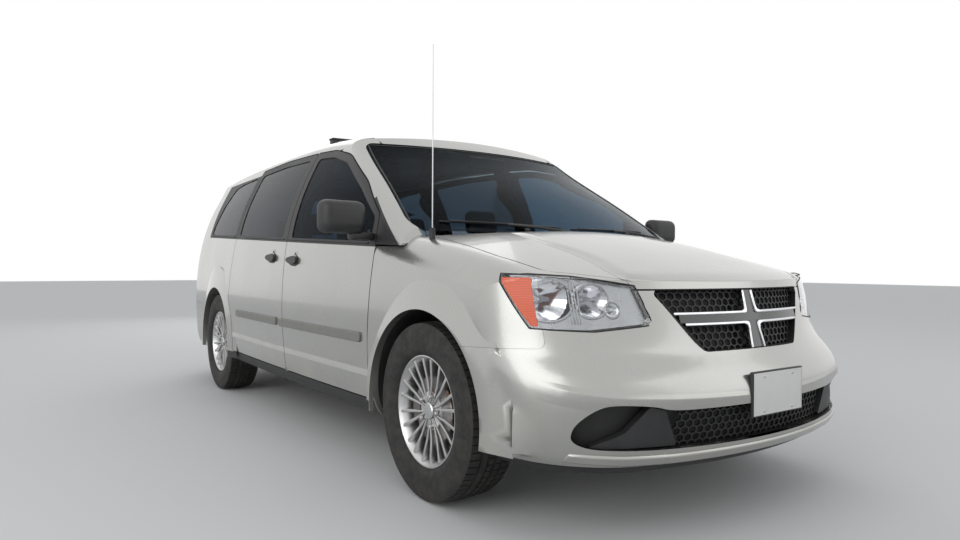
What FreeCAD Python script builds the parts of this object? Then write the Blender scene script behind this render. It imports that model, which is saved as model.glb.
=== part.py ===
"""A seven-seat minivan: unibody, doors, lids, glass, seats, wheels and steering.

Units are millimetres. +X is forward, +Y is the left side, +Z is up.
The origin is on the ground below the middle of the body.
"""
import FreeCAD
import Part
import math
import os

from FreeCAD import Vector

os.makedirs("parts", exist_ok=True)
doc = FreeCAD.newDocument("minivan")
sheet = doc.addObject("Spreadsheet::Sheet", "Sizes")

# Driving dimensions: alias, value in mm (or degrees), meaning.
SIZES = (
    ("body_length", 5151, "bumper to bumper"),
    ("body_half_width", 976, "widest half section, at the door middles"),
    ("roof_height", 1742, "highest point of the roof skin"),
    ("wheelbase", 3078, "front axle to rear axle"),
    ("front_overhang", 965, "front axle to the bumper's nose"),
    ("track_half", 825, "centre plane to the middle of a tyre"),
    ("tyre_radius", 362, "outer radius of the tread"),
    ("tyre_width", 225, "section width"),
    ("rim_radius", 216, "bead seat radius"),
    ("rim_width", 186, "over the flanges"),
    ("kingpin_y", 775, "steering axis from the centre plane"),
    ("arch_radius", 413, "wheel arch lip"),
    ("arch_height", 362, "height of the arch centre"),
    ("liner_thick", 6, "wheel arch liner"),
    ("liner_depth_front", 505, "inner wall of the front wheel house"),
    ("liner_depth_rear", 640, "inner wall of the rear wheel house"),
    ("side_bow", 40000, "plan radius of the body side"),
    ("side_middle_x", -100, "where the body side is widest"),
    ("underside", 277, "lower edge of the sills"),
    ("door_thick", 105, "whole door below the belt"),
    ("frame_thick", 46, "window frame above the belt"),
    ("pillar_thick", 45, "pillar behind the doors"),
    ("skin_thick", 24, "door skin flange, hood and fender edge"),
    ("flange_step", 24, "how far the inner door stands back"),
    ("shut_gap", 6, "gap round doors and lids"),
    ("gate_gap", 10, "gap beside the liftgate"),
    ("seam_gap", 0.8, "gap between fixed panels"),
    ("lamp_gap", 0.7, "gap round a headlamp"),
    ("glass_thick", 5, "window glass"),
    ("glass_set", 4, "glass below the outer skin"),
    ("seat_fit", 0.3, "gap between seated pieces"),
    ("floor_height", 292, "underside of the floor"),
    ("floor_thick", 24, "floor with its sound mat"),
    ("steer_lock", 35, "steering angle either way"),
)
for row_number, (alias, value, meaning) in enumerate(SIZES, start=1):
    sheet.set("A%d" % row_number, alias)
    sheet.set("B%d" % row_number, str(value))
    sheet.set("C%d" % row_number, meaning)
    sheet.setAlias("B%d" % row_number, alias)
doc.recompute()


def size(alias):
    """A driving dimension as a plain number."""
    return float(sheet.get(alias))


NOSE_X = size("body_length") / 2
TAIL_X = -NOSE_X
FRONT_AXLE_X = NOSE_X - size("front_overhang")
REAR_AXLE_X = FRONT_AXLE_X - size("wheelbase")
HALF_WIDTH = size("body_half_width")
ROOF_Z = size("roof_height")
UNDERSIDE = size("underside")
GAP = size("shut_gap")
SEAM = size("seam_gap")
FIT = size("seat_fit")
FAR = 4000.0


# Outlines and prisms

def arc_edge(start, middle, end):
    return Part.Arc(start, middle, end).toShape()


def rounded_wire(corners, to_point):
    """Closed wire of straight runs; each corner is (u, v, radius)."""
    count = len(corners)
    spans = []
    for number in range(count):
        before = corners[number - 1]
        here = corners[number]
        after = corners[(number + 1) % count]
        back = (before[0] - here[0], before[1] - here[1])
        ahead = (after[0] - here[0], after[1] - here[1])
        back_length = math.hypot(*back)
        ahead_length = math.hypot(*ahead)
        back = (back[0] / back_length, back[1] / back_length)
        ahead = (ahead[0] / ahead_length, ahead[1] / ahead_length)
        cosine = max(-1.0, min(1.0, back[0] * ahead[0] + back[1] * ahead[1]))
        half = math.acos(cosine) / 2
        radius = here[2]
        if radius <= 0 or half > math.radians(89.9):
            spans.append((here[:2], None, here[:2]))
            continue
        reach = min(radius / math.tan(half), 0.49 * back_length, 0.49 * ahead_length)
        radius = reach * math.tan(half)
        middle = (back[0] + ahead[0], back[1] + ahead[1])
        middle_length = math.hypot(*middle)
        depth = radius / math.sin(half) - radius
        spans.append((
            (here[0] + back[0] * reach, here[1] + back[1] * reach),
            (here[0] + middle[0] / middle_length * depth, here[1] + middle[1] / middle_length * depth),
            (here[0] + ahead[0] * reach, here[1] + ahead[1] * reach),
        ))
    edges = []
    for number in range(count):
        start, middle, end = spans[number]
        if middle is not None:
            edges.append(arc_edge(to_point(*start), to_point(*middle), to_point(*end)))
        following = spans[(number + 1) % count][0]
        if math.hypot(following[0] - end[0], following[1] - end[1]) > 0.01:
            edges.append(Part.makeLine(to_point(*end), to_point(*following)))
    return Part.Wire(edges)


def side_prism(corners, y_low, y_high, inset=0.0):
    """Prism across the body from a side view outline (x, z, radius)."""
    wire = rounded_wire(corners, lambda u, v: Vector(u, y_low, v))
    if inset:
        wire = wire.makeOffset2D(-inset)
    return Part.Face(wire).extrude(Vector(0, y_high - y_low, 0))


def front_prism(corners, x_low, x_high, inset=0.0):
    """Prism along the body from a front view outline (y, z, radius)."""
    wire = rounded_wire(corners, lambda u, v: Vector(x_low, u, v))
    if inset:
        wire = wire.makeOffset2D(-inset)
    return Part.Face(wire).extrude(Vector(x_high - x_low, 0, 0))


def plan_prism(corners, z_low, z_high, inset=0.0):
    """Upright prism from a plan outline (x, y, radius)."""
    wire = rounded_wire(corners, lambda u, v: Vector(u, v, z_low))
    if inset:
        wire = wire.makeOffset2D(-inset)
    return Part.Face(wire).extrude(Vector(0, 0, z_high - z_low))


def box(x_low, x_high, y_low, y_high, z_low, z_high):
    corner = Vector(x_low, y_low, z_low)
    return Part.makeBox(x_high - x_low, y_high - y_low, z_high - z_low, corner)


def cross_cylinder(radius, x, z, y_low, y_high):
    return Part.makeCylinder(radius, y_high - y_low, Vector(x, y_low, z), Vector(0, 1, 0))


def mirrored(shape):
    return shape.mirror(Vector(0, 0, 0), Vector(0, 1, 0))


def both_sides(shape):
    return Part.makeCompound([shape, mirrored(shape)])


# The body's form: half width by height, from tangent arcs

WAIST_Z = 620.0
ROCKER_Z = 335.0
SHOULDER_Z = 1060.0
SHOULDER_IN = 38.0
RAIL_Z = 1550.0
RAIL_IN = 209.0
ROCKER_IN = 21.0
SILL_IN = 62.0
LOW_ANGLE = 2 * math.atan2(SHOULDER_IN, SHOULDER_Z - WAIST_Z)
LOW_RADIUS = (SHOULDER_Z - WAIST_Z) / math.sin(LOW_ANGLE)
GLASS_CHORD = math.atan2(RAIL_IN - SHOULDER_IN, RAIL_Z - SHOULDER_Z)
GLASS_ANGLE = 2 * GLASS_CHORD - LOW_ANGLE
GLASS_BOW = math.hypot(RAIL_IN - SHOULDER_IN, RAIL_Z - SHOULDER_Z) / 2 / math.sin(GLASS_CHORD - LOW_ANGLE)


def drawn_in(height):
    """How far the body side stands inside its widest line at a height."""
    if height < ROCKER_Z:
        return ROCKER_IN + SILL_IN * ((ROCKER_Z - height) / (ROCKER_Z - 250.0)) ** 1.5
    if height < WAIST_Z:
        return ROCKER_IN * ((WAIST_Z - height) / (WAIST_Z - ROCKER_Z)) ** 2
    if height < SHOULDER_Z:
        return LOW_RADIUS - math.sqrt(LOW_RADIUS ** 2 - (height - WAIST_Z) ** 2)
    if height < RAIL_Z:
        rise = height - SHOULDER_Z + GLASS_BOW * math.sin(LOW_ANGLE)
        return SHOULDER_IN + GLASS_BOW * math.cos(LOW_ANGLE) - math.sqrt(GLASS_BOW ** 2 - rise ** 2)
    return RAIL_IN + (height - RAIL_Z) * math.tan(GLASS_ANGLE)


def side_y(x, height):
    """Half width of the body side at a place and height."""
    bow = (x - size("side_middle_x")) ** 2 / (2 * size("side_bow"))
    return HALF_WIDTH - drawn_in(height) - bow


# Plan sections: z, nose x, nose radius, nose corner, tail x, tail radius, tail corner
NOSE_SECTIONS = (
    (250, NOSE_X - 95, 1950, 420, TAIL_X + 75, 3500, 300),
    (335, NOSE_X - 20, 1950, 430, TAIL_X + 10, 3500, 330),
    (460, NOSE_X, 1950, 430, TAIL_X, 3500, 330),
    (560, NOSE_X - 14, 1850, 425, TAIL_X + 6, 3500, 320),
    (650, NOSE_X - 72, 1600, 420, TAIL_X + 14, 3500, 300),
    (760, NOSE_X - 103, 1500, 410, TAIL_X + 22, 3500, 280),
    (880, NOSE_X - 130, 1480, 400, TAIL_X + 34, 3500, 260),
    (1010, NOSE_X - 178, 1450, 390, TAIL_X + 52, 3500, 240),
    (1180, NOSE_X - 260, 1450, 380, TAIL_X + 85, 3500, 220),
)
SCREEN_FOOT_X = 1470.0
SCREEN_FOOT_Z = 1150.0
SCREEN_RUN = 1.724
CABIN_SECTIONS = tuple(
    (z, SCREEN_FOOT_X - (z - SCREEN_FOOT_Z) * SCREEN_RUN + bulge, 1900, 120, TAIL_X + tail, 3500, corner)
    for z, bulge, tail, corner in (
        (250, 0, 75, 300),
        (335, 0, 10, 330),
        (460, 0, 0, 330),
        (650, 0, 14, 300),
        (850, 0, 30, 265),
        (1060, 0, 60, 235),
        (1200, 10, 92, 215),
        (1350, 16, 142, 190),
        (1550, 16, 212, 160),
        (1780, 0, 305, 140),
    )
)


def circle_crossing(first, first_radius, second, second_radius, forward):
    """The crossing of two circles that lies furthest forward or back, on the left."""
    gap_x = second[0] - first[0]
    gap_y = second[1] - first[1]
    distance = math.hypot(gap_x, gap_y)
    along = (first_radius ** 2 - second_radius ** 2 + distance ** 2) / (2 * distance)
    across = math.sqrt(first_radius ** 2 - along ** 2)
    unit = (gap_x / distance, gap_y / distance)
    base = (first[0] + along * unit[0], first[1] + along * unit[1])
    choices = [(base[0] - s * across * unit[1], base[1] + s * across * unit[0]) for s in (1, -1)]
    return max(choices, key=lambda point: point[0] * forward)


def plan_wire(section, inset):
    """Plan outline: nose arc, two corners, two side arcs, tail arc and two corners."""
    z, nose_x, nose_r, nose_c, tail_x, tail_r, tail_c = section
    bow = size("side_bow")
    side_centre = (size("side_middle_x"), HALF_WIDTH - drawn_in(z) - bow)

    def corner(centre_x, radius, corner_r, forward):
        corner_r = max(corner_r, inset + 20)
        middle = circle_crossing((centre_x, 0), radius - corner_r, side_centre, bow - corner_r, forward)
        ends = []
        for centre, reach in (((centre_x, 0), radius - inset), (side_centre, bow - inset)):
            length = math.hypot(middle[0] - centre[0], middle[1] - centre[1])
            ends.append((
                centre[0] + (middle[0] - centre[0]) / length * reach,
                centre[1] + (middle[1] - centre[1]) / length * reach,
            ))
        out = ((ends[0][0] + ends[1][0]) / 2 - middle[0], (ends[0][1] + ends[1][1]) / 2 - middle[1])
        length = math.hypot(*out)
        round_r = corner_r - inset
        crest = (middle[0] + out[0] / length * round_r, middle[1] + out[1] / length * round_r)
        return ends[0], crest, ends[1]

    front, front_crest, front_side = corner(nose_x - nose_r, nose_r, nose_c, 1)
    back, back_crest, back_side = corner(tail_x + tail_r, tail_r, tail_c, -1)
    side_crest = (size("side_middle_x"), HALF_WIDTH - drawn_in(z) - inset)

    def at(point, side=1):
        return Vector(point[0], side * point[1], z)

    return Part.Wire([
        arc_edge(at(front, -1), Vector(nose_x - inset, 0, z), at(front)),
        arc_edge(at(front), at(front_crest), at(front_side)),
        arc_edge(at(front_side), at(side_crest), at(back_side)),
        arc_edge(at(back_side), at(back_crest), at(back)),
        arc_edge(at(back), Vector(tail_x + inset, 0, z), at(back, -1)),
        arc_edge(at(back, -1), at(back_crest, -1), at(back_side, -1)),
        arc_edge(at(back_side, -1), at(side_crest, -1), at(front_side, -1)),
        arc_edge(at(front_side, -1), at(front_crest, -1), at(front, -1)),
    ])


def plan_loft(sections, inset_at):
    return Part.makeLoft([plan_wire(row, inset_at(row[0])) for row in sections], True, False)


# Caps: cross sections that round the roof edge and the fender shoulder

def cap_wire(x, top_z, crown_r, shoulder_r, line_z, inset, drop, margin):
    """Crown arc with a round shoulder on each side and a straight flank to a low flat base."""
    slope = math.radians(1)
    step = 4.0
    low = side_y(x, line_z - step)
    high = side_y(x, line_z + step)
    slope = math.atan2(low - high, 2 * step)
    foot_y = side_y(x, line_z) + margin - inset / math.cos(slope)
    normal = (math.cos(slope), math.sin(slope))
    along = (-math.sin(slope), math.cos(slope))
    centre_z = top_z - crown_r
    outer = crown_r - drop
    start = (foot_y - normal[0] * shoulder_r, line_z - normal[1] * shoulder_r - centre_z)
    b = start[0] * along[0] + start[1] * along[1]
    c = start[0] ** 2 + start[1] ** 2 - (outer - shoulder_r) ** 2
    travel = -b + math.sqrt(b * b - c)
    middle = (start[0] + along[0] * travel, start[1] + along[1] * travel + centre_z)
    low_end = (middle[0] + normal[0] * shoulder_r, middle[1] + normal[1] * shoulder_r)
    reach = math.hypot(middle[0], middle[1] - centre_z)
    up = (middle[0] / reach, (middle[1] - centre_z) / reach)
    high_end = (middle[0] + up[0] * shoulder_r, middle[1] + up[1] * shoulder_r)
    out = (normal[0] + up[0], normal[1] + up[1])
    length = math.hypot(*out)
    crest = (middle[0] + out[0] / length * shoulder_r, middle[1] + out[1] / length * shoulder_r)
    base_z = 200.0
    base_y = low_end[0] + (low_end[1] - base_z) * math.tan(slope)

    def at(point, side=1):
        return Vector(x, side * point[0], point[1])

    return Part.Wire([
        arc_edge(at(high_end, -1), Vector(x, 0, centre_z + outer), at(high_end)),
        arc_edge(at(high_end), at(crest), at(low_end)),
        Part.makeLine(at(low_end), at((base_y, base_z))),
        Part.makeLine(at((base_y, base_z)), at((base_y, base_z), -1)),
        Part.makeLine(at((base_y, base_z), -1), at(low_end, -1)),
        arc_edge(at(low_end, -1), at(crest, -1), at(high_end, -1)),
    ])


ROOF_CROWN = 5000.0
HOOD_CROWN = 5200.0
# Roof sections: x, height of the middle
ROOF_SECTIONS = ((1900, 1320), (1250, 1544), (700, 1668), (150, 1728), (-500, ROOF_Z), (-1300, 1736),
                 (-2000, 1712), (-2700, 1670))
# Hood sections: x, height of the middle, height at which the flank is measured
HOOD_SECTIONS = ((1050, 1186, 960), (1500, 1127, 940), (1900, 1050, 900), (2250, 958, 840), (2600, 838, 760))


def roof_cap(inset, drop):
    radius = max(95.0 - drop, 40.0)
    wires = [cap_wire(x, z, ROOF_CROWN, radius, RAIL_Z, inset, drop, 1.0) for x, z in ROOF_SECTIONS]
    return Part.makeLoft(wires, True, False)


def hood_cap(inset, drop):
    radius = max(150.0 - drop, 40.0)
    wires = [cap_wire(x, z, HOOD_CROWN, radius, line, inset, drop, 1.0) for x, z, line in HOOD_SECTIONS]
    return Part.makeLoft(wires, True, False)


def layer(zone, outer, inner):
    """The wall between two forms, inside a zone."""
    return outer.common(zone).cut(inner)


def cabin_form(inset_low, inset_high, drop):
    """The cabin's outer form brought inwards: below the belt, above it, and at the roof."""
    def inset_at(z):
        if z <= 1000:
            return inset_low
        if z >= 1200:
            return inset_high
        return inset_high + (inset_low - inset_high) * (1200 - z) / 200.0
    return plan_loft(CABIN_SECTIONS, inset_at).common(roof_cap(inset_high, drop))


def nose_form(inset, drop):
    return plan_loft(NOSE_SECTIONS, lambda z: inset).common(hood_cap(inset, drop))


# Flares round the wheel arches
FLARE_ROOT = 12.0
FLARE_OVER = 10.0


def flare(axle_x, centre_shift, reach, lift):
    """A dished ring that rises from the body side to the arch lip."""
    lip = size("arch_radius")
    skin = side_y(axle_x, size("arch_height") + lip * 0.6) - 3
    outward = Vector((axle_x - size("side_middle_x")) / size("side_bow"), 1, 0).normalize()
    base = Vector(axle_x + centre_shift, skin, size("arch_height")).sub(outward * FLARE_ROOT)
    slope = (reach - lip) / lift
    narrow = lip - FLARE_OVER
    height = FLARE_ROOT + (reach - narrow) / slope
    return Part.makeCone(reach + FLARE_ROOT * slope, narrow, height, base, outward)


OUTER = cabin_form(0, 0, 0)
front_flare = flare(FRONT_AXLE_X, 32, 482, 16)
rear_flare = flare(REAR_AXLE_X, 0, 500, 14)
above_sill = box(-FAR, FAR, -FAR, FAR, ROCKER_Z - 40, FAR)
rear_flare = rear_flare.common(above_sill)
front_flare = front_flare.common(above_sill)
OUTER = OUTER.fuse([rear_flare, mirrored(rear_flare)])
INNER_DOOR = cabin_form(size("door_thick"), size("frame_thick"), 20)
PILLAR_SHIFT = size("pillar_thick") + GAP
INNER_PILLAR = cabin_form(size("door_thick") + PILLAR_SHIFT, size("frame_thick") + PILLAR_SHIFT, 45)
PILLAR_FACE = cabin_form(size("door_thick") + GAP, size("frame_thick") + GAP, 26)
INNER_SKIN = cabin_form(size("skin_thick"), size("skin_thick"), 20)
NOSE = nose_form(0, 0).fuse([front_flare, mirrored(front_flare)])
NOSE_SKIN = nose_form(size("skin_thick"), size("skin_thick"))

left_half = box(-FAR, FAR, 0, FAR, 0, FAR)
GLASS_FACE = cabin_form(size("glass_set"), size("glass_set"), 0)
GLASS_BACK = cabin_form(size("glass_set") + size("glass_thick"), size("glass_set") + size("glass_thick"), 0)
OUTER_LEFT = OUTER.common(left_half)
INNER_DOOR_LEFT = INNER_DOOR.common(left_half)
INNER_SKIN_LEFT = INNER_SKIN.common(left_half)
INNER_PILLAR_LEFT = INNER_PILLAR.common(left_half)
GLASS_FACE_LEFT = GLASS_FACE.common(left_half)
GLASS_BACK_LEFT = GLASS_BACK.common(left_half)
NOSE_LEFT = NOSE.common(left_half)
NOSE_SKIN_LEFT = NOSE_SKIN.common(left_half)


# Side view lines

def belt(x):
    return 1095.0 - 0.0435 * x


DOOR_LOW_Z = 345.0
DOOR_FRONT_X = 1160.0
B_LINE = ((114.0, DOOR_LOW_Z), (41.0, 1093.0), (16.0, 1625.0))
REAR_SWEEP = 512.0
REAR_LOW_X = REAR_AXLE_X + math.sqrt(REAR_SWEEP ** 2 - (DOOR_LOW_Z - size("arch_height")) ** 2)

FRONT_DOOR = (
    (DOOR_FRONT_X - 10, DOOR_LOW_Z, 25),
    (DOOR_FRONT_X + 6, 1046, 0),
    (DOOR_FRONT_X - 12, 1184, 40),
    (900, 1362, 900),
    (560, 1548, 420),
    (300, 1606, 600),
    (B_LINE[2][0], B_LINE[2][1], 15),
    (B_LINE[1][0], B_LINE[1][1], 0),
    (B_LINE[0][0], B_LINE[0][1], 25),
)
SLIDING_DOOR = (
    (B_LINE[0][0] - GAP, B_LINE[0][1], 25),
    (B_LINE[1][0] - GAP, B_LINE[1][1], 0),
    (B_LINE[2][0] - GAP, B_LINE[2][1], 15),
    (-530, 1641, 2500),
    (-1066, 1632, 15),
    (-1058, 1140, 0),
    (-1078, 800, 300),
    (REAR_AXLE_X + REAR_SWEEP * math.cos(math.radians(43)), size("arch_height") + REAR_SWEEP * math.sin(math.radians(43)), 300),
    (REAR_AXLE_X + REAR_SWEEP * math.cos(math.radians(20)), size("arch_height") + REAR_SWEEP * math.sin(math.radians(20)), 300),
    (REAR_LOW_X, DOOR_LOW_Z, 25),
)
FRONT_GLASS = (
    (1118, belt(1118) + 16, 30),
    (1112, 1176, 30),
    (880, 1330, 800),
    (560, 1502, 320),
    (330, 1562, 300),
    (84, 1582, 30),
    (104, belt(104) + 16, 25),
)
SLIDING_GLASS = (
    (-42, belt(-42) + 16, 25),
    (-62, 1590, 30),
    (-530, 1602, 0),
    (-1000, 1592, 30),
    (-992, belt(-992) + 16, 25),
)
QUARTER_GLASS = (
    (-1118, belt(-1118) + 16, 25),
    (-1126, 1588, 30),
    (-1500, 1578, 0),
    (-1700, 1556, 120),
    (-1800, 1440, 200),
    (-1930, belt(-1930) + 16, 40),
)

def grown(corners, amount):
    return side_prism(corners, 0, FAR, -amount)


def door(corners, glass_corners, inner_step):
    """Outer skin to the shut line, inner box standing back, window cut through."""
    window = side_prism(glass_corners, 0, FAR)
    skin_zone = side_prism(corners, 0, FAR).cut(window)
    core_zone = side_prism(corners, 0, FAR, inner_step).cut(window)
    skin = layer(skin_zone, OUTER_LEFT, INNER_SKIN_LEFT)
    core = layer(core_zone, INNER_SKIN_LEFT, INNER_DOOR_LEFT)
    return skin.fuse(core)


def pane(corners):
    """Curved side glass that fits its opening."""
    return layer(side_prism(corners, 0, FAR, FIT), GLASS_FACE_LEFT, GLASS_BACK_LEFT)


pieces = []


def add(label, shape):
    """Put a finished shape in the document as a named sub-part."""
    clean = shape.removeSplitter() if shape.ShapeType != "Compound" else shape
    feature = doc.addObject("Part::Feature", label)
    feature.Shape = clean
    feature.Label = label
    feature.Placement = FreeCAD.Placement()
    pieces.append(feature)
    return feature


def add_pair(stem, left_shape):
    add(stem + "_left", left_shape)
    add(stem + "_right", mirrored(left_shape))


# Doors and their glass
front_door = door(FRONT_DOOR, FRONT_GLASS, size("flange_step"))
sliding_door = door(SLIDING_DOOR, SLIDING_GLASS, size("flange_step"))
add_pair("front_door", front_door)
add_pair("sliding_door", sliding_door)
add_pair("front_door_glass", pane(FRONT_GLASS))
side_panes = Part.makeCompound([pane(SLIDING_GLASS), pane(QUARTER_GLASS)])
add("side_glass", both_sides(side_panes))

# Rear view outline of the liftgate (y, z, radius), and the roof seam ahead of it
GATE_LOW_Z = 640.0
GATE_FRONT_X = -2190.0
LIFTGATE = (
    (-700, GATE_LOW_Z, 60),
    (-775, 900, 200),
    (-772, 1180, 300),
    (-640, 1640, 60),
    (-615, 1800, 0),
    (615, 1800, 0),
    (640, 1640, 60),
    (772, 1180, 300),
    (775, 900, 200),
    (700, GATE_LOW_Z, 60),
)
GATE_GLASS = (
    (-690, 1150, 50),
    (-590, 1560, 60),
    (590, 1560, 60),
    (690, 1150, 50),
)
gate_window = front_prism(GATE_GLASS, TAIL_X - 50, GATE_FRONT_X)
gate_skin = layer(front_prism(LIFTGATE, TAIL_X - 50, GATE_FRONT_X).cut(gate_window), OUTER, INNER_SKIN)
gate_core_zone = front_prism(LIFTGATE, TAIL_X - 50, GATE_FRONT_X - size("flange_step"), size("flange_step"))
gate_core = layer(gate_core_zone.cut(gate_window), INNER_SKIN, INNER_DOOR)
add("liftgate", gate_skin.fuse(gate_core))
add("liftgate_glass", layer(front_prism(GATE_GLASS, TAIL_X - 50, GATE_FRONT_X, FIT), GLASS_FACE, GLASS_BACK))

# Windscreen outline (y, z, radius)
SCREEN = (
    (-838, 1102, 60),
    (-690, 1618, 60),
    (690, 1618, 60),
    (838, 1102, 60),
    (480, 1106, 900),
    (-480, 1106, 900),
)
add("windscreen", layer(front_prism(SCREEN, 0, FAR, FIT), GLASS_FACE, GLASS_BACK))

# Roof panel between the seams
ROOF_SEAM_Y = 600.0
roof_zone = box(GATE_FRONT_X + GAP, 760, -ROOF_SEAM_Y, ROOF_SEAM_Y, 1590, FAR)
roof_zone = roof_zone.cut(front_prism(SCREEN, 0, FAR, -FIT))
roof_panel = layer(roof_zone, OUTER, INNER_PILLAR)
# The liftgate's two hinge leaves reach back from the roof, under the gate's skin
leaf = layer(box(GATE_FRONT_X - 18, GATE_FRONT_X + GAP + 30, 380, 460, 1600, FAR), INNER_SKIN, INNER_PILLAR)
leaf.translate(Vector(0, 0, -FIT))
add("roof", roof_panel.fuse([leaf, mirrored(leaf)]))

# Tail lamps: rear view outline on the left (y, z, radius)
TAIL_LAMP = ((783, 860, 30), (788, 1180, 40), (850, 1300, 40), (960, 1290, 20), (1000, 860, 30))
lamp_zone = front_prism(TAIL_LAMP, TAIL_X - 50, -2330)
BUMPER_SIDE_X = -1905.0
bumper_zone = box(-FAR, BUMPER_SIDE_X, -FAR, FAR, 0, GATE_LOW_Z - GAP)

# Dark cladding along the sill
SILL = (
    (REAR_AXLE_X + 418, UNDERSIDE, 0),
    (REAR_AXLE_X + 418, DOOR_LOW_Z - GAP, 0),
    (FRONT_AXLE_X - 418, DOOR_LOW_Z - GAP, 0),
    (FRONT_AXLE_X - 418, UNDERSIDE, 0),
)
add("sill_cladding", both_sides(layer(side_prism(SILL, 300, FAR), OUTER_LEFT, INNER_SKIN_LEFT)))

# Body side: ring round the doors, pillars behind them, and the rear quarter
ARCH_CUT_FRONT = cross_cylinder(size("arch_radius"), FRONT_AXLE_X, size("arch_height"), 300, 1200)
ARCH_CUT_REAR = cross_cylinder(size("arch_radius"), REAR_AXLE_X, size("arch_height"), 300, 1200)
A_FOOT = (
    (DOOR_FRONT_X + 6 + GAP, 1046, 0),
    (1400, 1036, 10),
    (1352, 1110, 0),
    (1290, 1190, 0),
    (1250, 1900, 0),
    (1100, 1900, 0),
    (DOOR_FRONT_X - 30, 1184, 0),
)
ring_zone = box(-FAR, DOOR_FRONT_X - 10, 300, FAR, UNDERSIDE, FAR).fuse(side_prism(A_FOOT, 300, FAR))
ring_zone = ring_zone.cut([
    grown(FRONT_DOOR, GAP),
    grown(SLIDING_DOOR, GAP),
    side_prism(QUARTER_GLASS, 0, FAR),
    ARCH_CUT_REAR,
    bumper_zone,
])
ring_zone = ring_zone.cut(box(GATE_FRONT_X - 300, 2000, 0, ROOF_SEAM_Y + SEAM, 1500, FAR))
ring_zone = ring_zone.cut(front_prism(LIFTGATE, TAIL_X - 50, GATE_FRONT_X + GAP, -size("gate_gap")))
ring_zone = ring_zone.cut(lamp_zone).cut(front_prism(SCREEN, 0, FAR, -FIT))
COWL_HALF = 772.0
ring_zone = ring_zone.cut(box(DOOR_FRONT_X + 6, 1900, 0, COWL_HALF, 0, 1180))
ring_zone = ring_zone.cut(side_prism(SILL, 300, FAR, -SEAM).cut(INNER_SKIN_LEFT))
ring = layer(ring_zone, OUTER_LEFT, INNER_PILLAR_LEFT)
B_POST = ((10, 280, 0), (-40, 1760, 0), (70, 1760, 0), (150, 280, 0))
HINGE_POST = ((1070, 280, 0), (1070, 1230, 0), (DOOR_FRONT_X + 4, 1190, 0), (DOOR_FRONT_X + 4, 280, 0))
above_roof_seam = box(-FAR, FAR, 0, ROOF_SEAM_Y + 20, 1500, FAR)
posts = []
for outline in (B_POST, HINGE_POST):
    post_zone = side_prism(outline, 300, FAR).cut(above_roof_seam)
    posts.append(layer(post_zone, PILLAR_FACE, INNER_PILLAR_LEFT))
# Pads on the posts that carry the doors: x low, x high, z low, z high
DOOR_PADS = (
    (1078, 1118, 470, 540),
    (1078, 1118, 860, 930),
    (20, 60, 430, 480),
    (-8, 18, 940, 990),
)
pads = []
for x_low, x_high, z_low, z_high in DOOR_PADS:
    pad = layer(box(x_low, x_high, 300, FAR, z_low, z_high), INNER_DOOR_LEFT, PILLAR_FACE)
    pad.translate(Vector(0, -FIT, 0))
    pads.append(pad)
body_side = ring.fuse(posts + pads)
add_pair("body_side", body_side)

# Rear bumper and tail lamps
rear_bumper_zone = box(-FAR, BUMPER_SIDE_X - SEAM, -FAR, FAR, 0, GATE_LOW_Z - GAP - SEAM)
rear_bumper_zone = rear_bumper_zone.cut([ARCH_CUT_REAR, mirrored(ARCH_CUT_REAR)])
add("rear_bumper", layer(rear_bumper_zone, OUTER, INNER_SKIN))
tail_lamp = layer(front_prism(TAIL_LAMP, TAIL_X - 50, -2330 - SEAM, SEAM), OUTER_LEFT, INNER_DOOR_LEFT)
add("tail_lamps", both_sides(tail_lamp))

NOSE_DEEP = nose_form(44, 44)

# Front end zones: hood plan, headlamp and grille front views
HOOD = (
    (1350, -772, 0),
    (1900, -778, 0),
    (2150, -745, 120),
    (2345, -520, 60),
    (2600, -455, 0),
    (2600, 455, 0),
    (2345, 520, 60),
    (2150, 745, 120),
    (1900, 778, 0),
    (1350, 772, 0),
)
HOOD_FRONT_Z = 872.0
HEADLAMP = ((466, 747, 25), (512, 884, 25), (700, 915, 0), (1000, 935, 0), (1000, 742, 0), (672, 727, 60))
headlamp_side = ((2210, 700, 0), (2020, 945, 0), (2700, 945, 0), (2700, 700, 0))
headlamp_zone = front_prism(HEADLAMP, 1950, 2700).common(side_prism(headlamp_side, 0, FAR))
LAMP_GAP = size("lamp_gap")
headlamp_hole = front_prism(HEADLAMP, 1950, 2700, -LAMP_GAP).common(side_prism(headlamp_side, 0, FAR, -LAMP_GAP))
GRILLE = ((-276, 651, 15), (-462, 868, 15), (462, 868, 15), (276, 651, 15))
grille_zone = front_prism(GRILLE, 2200, 2700)
grille_hole = front_prism(GRILLE, 2200, 2700, -SEAM)
INTAKE = ((-540, 345, 30), (-505, 468, 25), (505, 468, 25), (540, 345, 30))
intake_zone = front_prism(INTAKE, 2200, 2700)

BUMPER_TOP = (
    (1895, 654, 0),
    (2235, 670, 15),
    (2214, 748, 0),
    (2700, 748, 0),
    (2700, 0, 0),
    (1895, 0, 0),
)
GRILLE_SIDE_Y = 505.0
front_bumper_zone = side_prism(BUMPER_TOP, -FAR, FAR)
surround = box(2200, 2600, -GRILLE_SIDE_Y, GRILLE_SIDE_Y, 700, HOOD_FRONT_Z - GAP)
front_bumper_zone = front_bumper_zone.fuse(surround)
headlamp_holes = [headlamp_hole, mirrored(headlamp_hole)]
front_arches = [ARCH_CUT_FRONT, mirrored(ARCH_CUT_FRONT)]
front_bumper_zone = front_bumper_zone.cut(headlamp_holes + front_arches + [grille_hole, intake_zone])
add("front_bumper", layer(front_bumper_zone, NOSE, NOSE_SKIN))

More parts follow.
